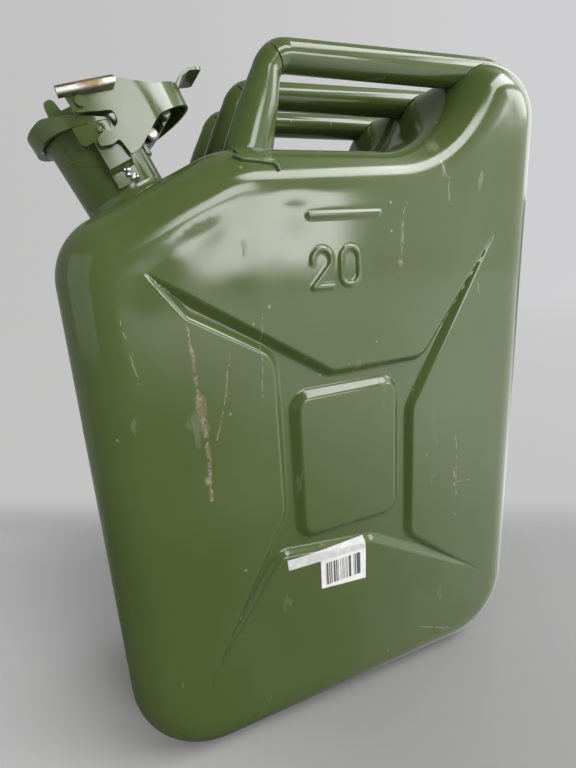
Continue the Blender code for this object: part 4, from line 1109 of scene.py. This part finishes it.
    def skin(
        self, marked: bool, wall: float, arc_steps: int, coarseness: int
    ) -> tuple[list[Point], Faces]:
        """Return one side of the sheet of the front shell, from the seam to the face.

        Args:
            marked: Whether the face carries the bar and the number.
            wall: How far inside the outer surface it lies.
            arc_steps: Steps in the rounding between flank and face.
            coarseness: 0 for the side that is seen, 1 for the hidden one.

        Returns:
            The points and the faces, with the seam's ring first.
        """
        slope_end, slope_start = self.seam_half_width, self.seam_half_width - self.seam_slope
        soft, low = self.seam_slope / 4, self.seam_depth + wall
        rings = [
            (SEAM_GAP, low),
            (slope_start - soft, low),
            (slope_start + soft / 2, low - soft / 2),
            (slope_end - soft / 2, wall + soft / 2),
            (slope_end + soft, wall),
        ]
        rings += [(slope_end + (FLANK_DEPTH - slope_end) * step / 4, wall) for step in (1, 2, 3)]
        radius = FACE_RADIUS - wall
        for angle in quarter_turn(arc_steps):
            depth = FLANK_DEPTH + radius * math.sin(angle)
            rings.append((depth, FACE_RADIUS - radius * math.cos(angle)))
        points: list = []
        for depth, inset in rings:
            points += [(x, -depth, z) for x, z in self.outline.inset(inset)]
        count = len(self.outline.points)
        faces = ring_faces(count, len(rings))
        last, index = len(points) - count, []
        fine, coarse = self.fine_step * (1 + 2 * coarseness), self.coarse_step * (1 + coarseness)
        places, triangles, origin = self.face(marked, wall, fine, coarse)
        for place, at in zip(places, origin):
            index.append(last + at if at >= 0 else len(points))
            if at < 0:
                points.append(tuple(place))
        return points, faces + [tuple(index[i] for i in triangle) for triangle in triangles]

    def shell(self, name: str, marked: bool) -> bpy.types.Object:
        """Build one closed shell of thin sheet, open at the seam and at the neck.

        Args:
            name: The piece's name.
            marked: Whether it is the front one, with the bar and the number.

        Returns:
            The shell.
        """
        outer, outer_faces = self.skin(marked, 0.0, 10, 0)
        inner, inner_faces = self.skin(marked, SHEET, 5, 1)
        count, shift = len(self.outline.points), len(outer)
        faces = outer_faces + [tuple(shift + i for i in reversed(f)) for f in inner_faces]
        faces += [(i, shift + i, shift + (i + 1) % count, (i + 1) % count) for i in range(count)]
        side = 1 if marked else -1
        obj = closed_object(name, [(x, side * y, z) for x, y, z in outer + inner], faces)
        self.open_neck(obj)
        shade(obj, self.sharp_degrees)
        return obj

    @staticmethod
    def open_neck(obj: bpy.types.Object) -> None:
        """Cut the hole of the neck out of a shell.

        Args:
            obj: The shell, a closed mesh.
        """
        bm = bmesh.new()
        radius = NECK_HOLE_RADIUS
        bmesh.ops.create_cone(
            bm, cap_ends=True, segments=72, radius1=radius, radius2=radius, depth=NECK_HOLE_DEPTH
        )
        mesh = bpy.data.meshes.new("neck_hole")
        bm.to_mesh(mesh)
        bm.free()
        mesh.transform(NECK_MATRIX)
        hole = new_object("neck_hole", mesh)
        cut = obj.modifiers.new("neck", "BOOLEAN")
        cut.object = hole
        cut.operation = "DIFFERENCE"
        cut.solver = "MANIFOLD"
        settle(obj)
        bpy.data.objects.remove(hole)

    def build(self) -> None:
        """Build both shells and place them on the can."""
        front, rear = self.shell("front_half", True), self.shell("rear_half", False)
        place_piece(front, Body.CAN, self.coats[Look.FRONT], "front_shell")
        place_piece(rear, Body.CAN, self.coats[Look.BODY], "rear_shell")


# Pieces that keep their CAD shape


@dataclass(frozen=True)
class Dressed:
    """A CAD node whose shape stays, with its edges rounded and its finish renewed."""

    node: str
    body: Body
    look: Look
    rounding: float = 0.0
    merge: float = 0.000002
    flat_degrees: float = 0.6
    bevel_degrees: float = 38
    sharp_degrees: float = 35
    rounded_sharp_degrees: float = 60

    def build(self, coats: dict[Look, Coat]) -> None:
        """Build a copy with its corners joined, and let it stand for its node.

        Args:
            coats: The coats by their look.
        """
        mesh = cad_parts[self.node].data.copy()
        bm = bmesh.new()
        bm.from_mesh(mesh)
        bmesh.ops.remove_doubles(bm, verts=bm.verts, dist=self.merge)
        flat = math.radians(self.flat_degrees)
        bmesh.ops.dissolve_limit(bm, angle_limit=flat, verts=bm.verts, edges=bm.edges)
        bm.to_mesh(mesh)
        bm.free()
        obj = new_object(self.node + "_finished", mesh)
        if self.rounding:
            bevel = obj.modifiers.new("edges", "BEVEL")
            bevel.limit_method = "ANGLE"
            bevel.angle_limit = math.radians(self.bevel_degrees)
            bevel.width = self.rounding
            bevel.segments = 2
        shade(obj, self.rounded_sharp_degrees if self.rounding else self.sharp_degrees)
        obj.modifiers.new("normals", "WEIGHTED_NORMAL").keep_sharp = True
        settle(obj)
        place_piece(obj, self.body, coats[self.look], self.node)


DRESSED = (
    Dressed("handle_front", Body.CAN, Look.BODY),
    Dressed("handle_middle", Body.CAN, Look.BODY),
    Dressed("handle_rear", Body.CAN, Look.BODY),
    Dressed("neck", Body.CAN, Look.BODY),
    Dressed("vent_tube", Body.CAN, Look.STEEL),
    Dressed("cam_ring", Body.CAN, Look.CLOSURE, 0.0004),
    Dressed("strap_front", Body.CAN, Look.CLOSURE, 0.0004),
    Dressed("strap_rear", Body.CAN, Look.CLOSURE, 0.0004),
    Dressed("hinge_bracket", Body.CAN, Look.CLOSURE, 0.0003),
    Dressed("link_pin", Body.CAN, Look.STEEL),
    Dressed("link", Body.LINK, Look.CLOSURE, 0.0003),
    Dressed("lever", Body.LEVER, Look.CLOSURE, 0.0004),
    Dressed("lever_pin", Body.LEVER, Look.STEEL),
    Dressed("edge_strip_front", Body.LEVER, Look.STRIP),
    Dressed("edge_strip_rear", Body.LEVER, Look.STRIP),
    Dressed("cross_pin", Body.LEVER, Look.CLOSURE),
    Dressed("lid", Body.LID, Look.CLOSURE),
    Dressed("lid_bracket", Body.LID, Look.CLOSURE, 0.0003),
    Dressed("lid_guide", Body.LID, Look.CLOSURE, 0.0003),
    Dressed("lid_rivet_left", Body.LID, Look.STEEL),
    Dressed("lid_rivet_right", Body.LID, Look.STEEL),
    Dressed("gasket", Body.LID, Look.RUBBER),
)


# Small details that only the surface shows


def geometry_rule(rule: Callable[[Nodes, dict], Socket], **inputs: object) -> Tree:
    """Build a geometry tree that runs a shape along a curve.

    Args:
        rule: The function that adds its nodes and returns the shape.
        inputs: Its inputs besides Path and Look, as for new_group.

    Returns:
        The tree, named as its rule, with the instances made real and the material set.
    """
    given = {"Path": bpy.types.Mesh, **inputs, "Look": bpy.types.Material}
    nodes, source, sink = new_group(
        "GeometryNodeTree", rule.__name__, given, {"Mesh": bpy.types.Mesh}
    )
    whole = nodes.add("GeometryNodeRealizeInstances", {0: rule(nodes, source)})
    smooth = nodes.add("GeometryNodeSetShadeSmooth", {0: whole.outputs[0]})
    look = {0: smooth.outputs[0], "Material": source["Look"]}
    nodes.feed(sink, {0: nodes.add("GeometryNodeSetMaterial", look).outputs[0]})
    return nodes.tree


def weld_bead(nodes: Nodes, source: dict) -> Socket:
    """Lay overlapping drops of weld along the path, each of a slightly different size.

    Args:
        nodes: The tree's builder.
        source: Its inputs Path, Spacing, Size, Ripple and Seed.

    Returns:
        The drops, as instances.
    """
    path = nodes.add(
        "GeometryNodeResampleCurve",
        {"Curve": source["Path"], "Length": source["Spacing"]},
        mode="LENGTH",
    )
    drop = nodes.add("GeometryNodeMeshIcoSphere", {"Radius": 1.0, "Subdivisions": 2})
    least, most = (
        nodes.times(source["Size"], nodes.math(change, 1.0, source["Ripple"]))
        for change in ("SUBTRACT", "ADD")
    )
    sizes = {2: least, 3: most, "Seed": source["Seed"]}
    scale = nodes.add("FunctionNodeRandomValue", sizes, data_type="FLOAT")
    tangent = nodes.add("GeometryNodeInputTangent").outputs[0]
    turn = nodes.add("FunctionNodeAlignRotationToVector", {"Vector": tangent}, axis="X")
    laid = {
        "Points": path.outputs[0],
        "Instance": drop.outputs["Mesh"],
        "Rotation": turn.outputs[0],
        "Scale": scale.outputs[1],
    }
    return nodes.add("GeometryNodeInstanceOnPoints", laid).outputs[0]


def ridge(nodes: Nodes, source: dict) -> Socket:
    """Lay a thin round ridge along the path.

    Args:
        nodes: The tree's builder.
        source: Its inputs Path and Radius.

    Returns:
        The ridge.
    """
    circle = {"Resolution": 8, "Radius": source["Radius"]}
    profile = nodes.add("GeometryNodeCurvePrimitiveCircle", circle).outputs[0]
    bar = {"Curve": source["Path"], "Profile Curve": profile, "Fill Caps": True}
    return nodes.add("GeometryNodeCurveToMesh", bar).outputs[0]


def along_paths(name: str, paths: Sequence[Path], tree: Tree, **values: object) -> bpy.types.Object:
    """Run a geometry tree along some curves and keep the result as one plain mesh.

    Args:
        name: The finished piece's name.
        paths: The points of each curve.
        tree: The geometry node group.
        values: The values of its inputs, by name.

    Returns:
        The finished mesh object, at the origin.
    """
    curve = bpy.data.curves.new(name + "_path", "CURVE")
    curve.dimensions = "3D"
    for path in paths:
        spline = curve.splines.new("POLY")
        spline.points.add(len(path) - 1)
        for point, place in zip(spline.points, path):
            point.co = (*place, 1.0)
    holder = new_object(name + "_path", curve)
    modifier = holder.modifiers.new("along", "NODES")
    modifier.node_group = tree
    for socket in tree.interface.items_tree:
        if socket.name in values:
            modifier[socket.identifier] = values[socket.name]
    mesh = evaluated_mesh(holder)
    bpy.data.objects.remove(holder)
    return new_object(name, mesh)


def in_neck(place: Sequence[float], unit: float = 1.0) -> Point:
    """Return a place given as u, v and w of the neck, in a unit, in the can's own frame."""
    return tuple(NECK_MATRIX @ (Vector(place) * unit))


def rim_point(x: float, angle: float, side: float, lift: float) -> Point:
    """Return a point on the rounding between the top of the recess and a face.

    Args:
        x: Its place along the can.
        angle: How far it is round the rim, from 0 at the top to 90 degrees at the face.
        side: -1 for the front face, 1 for the rear one.
        lift: How far it stands off the surface.

    Returns:
        The point.
    """
    reach = FACE_RADIUS + lift
    y = FLANK_DEPTH + reach * math.sin(angle)
    return x, side * y, RECESS_HEIGHT - FACE_RADIUS + reach * math.cos(angle)


@dataclass
class Welds:
    """The weld beads at the handles' feet and on the closure, and the pressed line on the neck.

    The lines at the lips are given as X in millimetres and degrees round the rim, and those on
    the neck in millimetres of its own frame.
    """

    coats: dict[Look, Coat]
    handle_depths: tuple[float, ...] = (-0.056, 0.0, 0.056)
    foot_x: Pair = (-0.0645, -0.0352)
    foot_half: float = 0.0107
    foot_turn: float = 0.93
    foot_steps: int = 24
    bend_x: float = -0.0564
    lip_x: Pair = (-0.0640, -0.0432)
    lip_angles: Pair = (math.radians(24), math.radians(54))
    lip_grid: tuple[int, int] = (13, 9)
    lip_layers: tuple[Pair, Pair] = ((0.00005, 1.0), (0.0012, 0.35))
    lip_rounding: float = 12
    bead_lift: float = 0.0004
    low_line: Sequence[Pair] = (
        (-66.5, 46), (-62.5, 52), (-58, 53), (-53.5, 54),
        (-49, 56), (-45, 57), (-42.5, 62), (-42.4, 66),
    )
    high_line: Sequence[Pair] = (
        (-62.5, 36), (-58, 37), (-55, 38.5), (-49.5, 39.5), (-43.7, 39.5)
    )
    swirl: Sequence[Pair] = (
        (1.0, 44.0), (2.5, 42.3), (3.2, 40.3), (1.6, 38.9), (-0.6, 39.4), (-1.0, 41.2), (0.5, 41.6)
    )
    swirl_v: float = 35.2
    blob: Sequence[Pair] = (
        (2.0, 17.0), (5.0, 15.4), (2.4, 13.8), (6.2, 12.6), (3.6, 11.0), (6.8, 10.6)
    )
    blob_v: float = 30.4
    neck_line: Path = (
        (-21.0, -18.6, 42.9),
        (-22.5, -16.7, 41.7),
        (-22.6, -16.6, 38.0),
        (-19.4, -20.3, 32.5),
        (-14.0, -24.3, 28.4),
        (-6.9, -27.2, 23.7),
    )
    neck_line_radius: float = 0.0006

    def foot_path(self, depth: float) -> Path:
        """Return the line of weld round the foot of a handle.

        Args:
            depth: The handle's place in Y.

        Returns:
            The points of the line, on the body.
        """
        first, last = self.foot_x
        path = []
        for step in range(self.foot_steps + 1):
            angle = math.pi * self.foot_turn * (1 - 2 * step / self.foot_steps)
            x = (first + last) / 2 + (last - first) / 2 * math.cos(angle)
            y = depth + self.foot_half * math.sin(angle)
            over = max(abs(y) - FLANK_DEPTH, 0.0)
            drop = FACE_RADIUS - math.sqrt(FACE_RADIUS**2 - over**2)
            slope = max(self.bend_x - x, 0.0) ** 2 / (2 * BEND_RADIUS)
            path.append((x, y, RECESS_HEIGHT - drop - slope))
        return path

    def lip_paths(self, line: Sequence[Pair]) -> list[Path]:
        """Return a line along the lips of the outer handles, front and rear."""
        return [
            [rim_point(x / 1000, math.radians(turn), side, self.bead_lift) for x, turn in line]
            for side in (-1.0, 1.0)
        ]

    def strap_paths(self, line: Sequence[Pair], v: float) -> list[Path]:
        """Return a line on the straps, front and rear, from its places in u and w."""
        return [[in_neck((u, side * v, w), 0.001) for u, w in line] for side in (-1.0, 1.0)]

    def lip(self, side: float, lift: float, edge: float) -> Path:
        """Return a layer of the flattened lip that a handle's foot ends in.

        Args:
            side: -1 for the front handle, 1 for the rear one.
            lift: How far the layer stands off the body.
            edge: The share of the lift that is left at the lip's edge.

        Returns:
            The points, row by row.
        """
        columns, rows = self.lip_grid
        (first, last), (low, high) = self.lip_x, self.lip_angles
        layer = []
        for row in range(rows):
            up = row / (rows - 1)
            for column in range(columns):
                share = column / (columns - 1)
                inside = min(share, 1 - share, 1 - up) * self.lip_rounding
                rise = lift * min(1.0, edge + inside)
                x = first + (last - first) * share
                layer.append(rim_point(x, low + (high - low) * up, side, rise))
        return layer

    def build(self) -> None:
        """Build every weld, the two lips and the pressed line, and place them on the can."""
        tree = geometry_rule(weld_bead, Spacing=0.001, Size=0.0015, Ripple=0.25, Seed=1)
        feet = [self.foot_path(depth) for depth in self.handle_depths]
        low, high = self.lip_paths(self.low_line), self.lip_paths(self.high_line)
        swirls = self.strap_paths(self.swirl, self.swirl_v)
        blobs = self.strap_paths(self.blob, self.blob_v)
        weld = self.coats[Look.WELD]
        for name, paths, spacing, size, ripple, seed, coat in (
            ("foot_welds", feet, 0.0007, 0.0011, 0.10, 3, weld),
            ("lip_welds", low, 0.0005, 0.0012, 0.07, 5, weld),
            ("lip_edges", high, 0.0004, 0.0008, 0.05, 6, weld),
            ("strap_swirls", swirls, 0.0006, 0.0010, 0.30, 8, weld),
            ("strap_blobs", blobs, 0.0009, 0.0013, 0.40, 9, self.coats[Look.STEEL]),
        ):
            values = {"Spacing": spacing, "Size": size, "Ripple": ripple, "Seed": seed}
            piece = along_paths(name, paths, tree, Look=coat.material, **values)
            place_piece(piece, Body.CAN, coat)
        paths = [
            [in_neck((u, side * v, w), 0.001) for u, v, w in self.neck_line] for side in (1, -1)
        ]
        values = {"Radius": self.neck_line_radius, "Look": weld.material}
        lines = along_paths("neck_lines", paths, geometry_rule(ridge, Radius=0.0005), **values)
        place_piece(lines, Body.CAN, weld)
        for name, side in (("front_lip", -1.0), ("rear_lip", 1.0)):
            under, over = (self.lip(side, *layer) for layer in self.lip_layers)
            place_piece(closed_sheet(name, self.lip_grid[0], under, over), Body.CAN, weld)


@dataclass
class NeckFillet:
    """The smooth flare between the neck's foot and the shoulder."""

    coats: dict[Look, Coat]
    inner: float = 0.02805
    radius: float = 0.0075
    lift: float = 0.00002
    steps: int = 96
    arc_steps: int = 8

    def build(self) -> None:
        """Turn the flare round the neck and place it on the can."""
        profile = []
        for angle in quarter_turn(self.arc_steps):
            reach = self.inner + self.radius * (1 - math.cos(angle))
            profile.append((reach, self.radius * (1 - math.sin(angle)) + self.lift))
        profile.append((self.inner, self.lift))
        points = []
        for step in range(self.steps):
            turn = 2 * math.pi * step / self.steps
            points += [in_neck((r * math.cos(turn), r * math.sin(turn), w)) for r, w in profile]
        faces = ring_faces(len(profile), self.steps, closed=True)
        fillet = closed_object("neck_fillet", points, faces)
        shade(fillet)
        place_piece(fillet, Body.CAN, self.coats[Look.BODY])


@dataclass
class Stickers:
    """The plain foil strip and the small bar label on the front face.

    Each is given by X and Z of its corners: top left, top right, bottom right, bottom left.
    """

    coats: dict[Look, Coat]
    pressing: PressedBody
    lift: float = 0.00012
    sheet: float = 0.00016
    columns: int = 48
    rows: int = 20
    strip: tuple = ((-0.0548, 0.1470), (0.0113, 0.1452), (0.0110, 0.1365), (-0.0540, 0.1385))
    label: tuple = ((-0.0280, 0.1383), (0.0112, 0.1363), (0.0108, 0.1100), (-0.0282, 0.1140))

    def build(self) -> None:
        """Lay the strip and the label on the pressed face and place them on the can."""
        for look, corners in ((Look.FOIL, self.strip), (Look.LABEL, self.label)):
            top_left, top_right, bottom_right, bottom_left = (np.array(c) for c in corners)
            across = np.linspace(0.0, 1.0, self.columns)[None, :, None]
            down = np.linspace(0.0, 1.0, self.rows)[:, None, None]
            top = top_left + (top_right - top_left) * across
            bottom = bottom_left + (bottom_right - bottom_left) * across
            places = (top + (bottom - top) * down).reshape(-1, 2)
            surface = CAN_DEPTH / 2 + self.pressing.relief(places, False)
            over, under = (
                [(x, -(depth + gap), z) for (x, z), depth in zip(places, surface)]
                for gap in (self.lift + self.sheet, self.lift)
            )
            piece = closed_sheet(look.value, self.columns, over, under)
            place_piece(piece, Body.CAN, self.coats[look])


# Floor, light and camera


@dataclass(frozen=True)
class SoftLight:
    """A rectangular soft light, aimed at a point."""

    name: str
    place: Point
    target: Point
    width: float
    height: float
    brightness: float

    def build(self) -> None:
        """Hang the light."""
        data = bpy.data.lights.new(self.name, "AREA")
        data.shape = "RECTANGLE"
        data.size, data.size_y = self.width, self.height
        data.energy = self.brightness * math.pi * self.width * self.height
        obj = new_object(self.name, data)
        obj.location = self.place
        aim = Vector(self.target) - Vector(self.place)
        obj.rotation_euler = aim.to_track_quat("-Z", "Y").to_euler()


@dataclass
class Studio:
    """The pale floor and backdrop, the lights and the camera.

    A span gives where along X or Y, or across the floor's edge, a tone starts to change and
    where it has changed. Mirror rays see a shine that grows to the right, and less behind.
    """

    # painted shade on the near floor: its colour goes from pale at the left to darker at the right
    near_floor: Colour = (0.62, 0.62, 0.62, 1.0)
    near_right_painted_shade: Colour = (0.325, 0.325, 0.325, 1.0)
    painted_shade_span: Pair = (-0.32, 0.02)
    far_floor: Colour = (0.20, 0.20, 0.20, 1.0)
    far_span: Pair = (0.125, 0.27)
    backdrop: Colour = (0.535, 0.533, 0.532, 1.0)
    backdrop_right: Colour = (0.615, 0.615, 0.625, 1.0)
    backdrop_span: Pair = (-0.7, 4.0)
    unlit: Colour = (0.0, 0.0, 0.0, 1.0)
    floor_edge: Point = (0.50, 0.866, 0.0)
    floor_gloss: float = 0.12
    floor_shine: float = 3.2
    floor_shine_span: Pair = (-0.15, 0.60)
    floor_behind: float = 0.5
    floor_behind_span: Pair = (0.0, 0.35)
    sweep_reach: float = 9.0
    sweep_back: float = 3.2
    sweep_bend: float = 1.2
    sweep_height: float = 5.0
    sweep_roughness: float = 0.9
    sweep_specular: float = 0.1
    ambient: float = 0.40
    ambient_gloss: float = 0.08
    shine: float = 1.5
    shine_span: Pair = (0.25, 0.80)
    behind: float = 0.25
    behind_span: Pair = (-0.1, 0.3)
    camera_place: Point = (-0.1634, -0.3279, 0.3413)
    yaw: float = math.radians(19.87)
    pitch: float = math.radians(14.74)
    roll: float = math.radians(5.02)
    focal: float = 435.1
    sensor: float = 36.0
    clip_start: float = 0.01
    centre: Pair = (246.5, 395.2)
    lights: tuple[SoftLight, ...] = (
        SoftLight("low_window", (1.0, -2.5, 0.65), (0.0, 0.0, 0.38), 1.05, 0.50, 9.8),
        SoftLight("high_window", (0.54, -2.42, 1.30), (-0.1, 0.0, 0.44), 0.80, 0.64, 9.5),
        SoftLight("side_window", (1.75, -0.94, 1.10), (-0.04, -0.06, 0.43), 0.90, 0.45, 6.5),
        SoftLight("key", (0.72, -0.70, 1.28), (0.0, 0.0, 0.30), 1.15, 0.38, 9.5),
        SoftLight("left", (-2.2, -0.8, 0.9), (0.0, 0.0, 0.25), 2.4, 2.0, 0.65),
        SoftLight("right", (2.5, 0.6, 1.4), (0.0, 0.0, 0.30), 2.0, 1.6, 1.5),
    )

    def build(self) -> None:
        """Build the stage, the lights, the room and the camera."""
        self.build_stage()
        for light in self.lights:
            light.build()
        self.build_room()
        self.build_camera()

    def build_stage(self) -> None:
        """Build a floor that turns up into a backdrop in one sweep."""
        reach, bend, start = self.sweep_reach, self.sweep_bend, self.sweep_back - self.sweep_bend
        profile = [(-reach, 0.0), (start, 0.0)]
        for angle in quarter_turn(12)[1:]:
            profile.append((start + bend * math.sin(angle), bend - bend * math.cos(angle)))
        profile.append((self.sweep_back, self.sweep_height))
        verts = [(side * reach, y, z) for y, z in profile for side in (-1, 1)]
        faces = [(2 * i, 2 * i + 1, 2 * i + 3, 2 * i + 2) for i in range(len(profile) - 1)]
        sweep = mesh_object("floor_sweep", verts, faces)
        sweep.data.shade_smooth()
        material = bpy.data.materials.new("sweep_paper")
        material.use_nodes = True
        nodes = Nodes(material.node_tree)
        place = nodes.place()
        x, y, _ = nodes.split(place)
        far = nodes.ramp(nodes.vector("DOT_PRODUCT", place, self.floor_edge), *self.far_span)
        light_path = nodes.add("ShaderNodeLightPath").outputs
        seen, mirrored = light_path["Is Camera Ray"], light_path["Is Glossy Ray"]
        # The near floor carries painted shade, darker towards the right.
        near = nodes.mix(nodes.ramp(x, *self.painted_shade_span), self.near_floor, self.near_right_painted_shade)
        tone = nodes.mix(far, near, self.far_floor)
        glow = nodes.mix(nodes.ramp(x, *self.backdrop_span), self.backdrop, self.backdrop_right)
        right = nodes.ramp(x, *self.floor_shine_span)
        shine = nodes.math("MULTIPLY_ADD", right, self.floor_shine, self.floor_gloss)
        shine = nodes.blend(nodes.ramp(y, *self.floor_behind_span), shine, self.floor_behind)
        dark = nodes.math("MAXIMUM", nodes.times(seen, far), mirrored)
        nodes.feed(
            nodes.tree.nodes["Principled BSDF"],
            {
                "Roughness": self.sweep_roughness,
                "Specular IOR Level": self.sweep_specular,
                "Base Color": nodes.mix(dark, tone, self.unlit),
                "Emission Color": glow,
                "Emission Strength": nodes.blend(mirrored, far, shine),
            },
        )
        sweep.data.materials.append(material)

    def build_room(self) -> None:
        """Build the even light of the room, which mirrors a brighter right side."""
        world = bpy.data.worlds.new("room")
        world.use_nodes = True
        nodes = Nodes(world.node_tree)
        mirrored = nodes.add("ShaderNodeLightPath").outputs["Is Glossy Ray"]
        x, y, _ = nodes.split(nodes.place("Generated"))
        right = nodes.ramp(x, *self.shine_span)
        shine = nodes.math("MULTIPLY_ADD", right, self.shine, self.ambient_gloss)
        shine = nodes.blend(nodes.ramp(y, *self.behind_span), shine, self.behind)
        level = nodes.blend(mirrored, self.ambient, shine)
        light = {"Color": (1.0, 1.0, 1.0, 1.0), "Strength": level}
        nodes.feed(nodes.tree.nodes["Background"], light)
        bpy.context.scene.world = world
        bpy.context.scene.view_settings.view_transform = "Standard"

    def build_camera(self) -> None:
        """Build the camera at the photograph's place and angle."""
        width, height = FRAME_SIZE
        flat = math.cos(self.pitch)
        east, north = math.sin(self.yaw), math.cos(self.yaw)
        ahead = Vector((east * flat, north * flat, -math.sin(self.pitch)))
        right = Vector((north, -east, 0.0))
        down = ahead.cross(right)
        tilted = math.cos(self.roll) * right + math.sin(self.roll) * down
        below = math.cos(self.roll) * down - math.sin(self.roll) * right
        data = bpy.data.cameras.new("photo_camera")
        data.sensor_fit = "AUTO"
        data.sensor_width = self.sensor
        data.lens = self.focal * self.sensor / height
        data.shift_x = (width / 2 - self.centre[0]) / height
        data.shift_y = (self.centre[1] - height / 2) / height
        data.clip_start = self.clip_start
        camera = new_object("photo_camera", data)
        turn = Matrix((tilted, -below, -ahead)).transposed().to_4x4()
        camera.matrix_world = Matrix.Translation(self.camera_place) @ turn
        bpy.context.scene.camera = camera


def main() -> None:
    """Build the stage and every sub-assembly in order."""
    logging.basicConfig(level=logging.INFO, format="%(name)s: %(message)s")
    Studio().build()
    coats = build_coats()
    pressing = PressedBody(coats)
    pressing.build()
    for piece in DRESSED:
        piece.build(coats)
    NeckFillet(coats).build()
    Welds(coats).build()
    Stickers(coats, pressing).build()


if __name__ == "__main__":
    main()
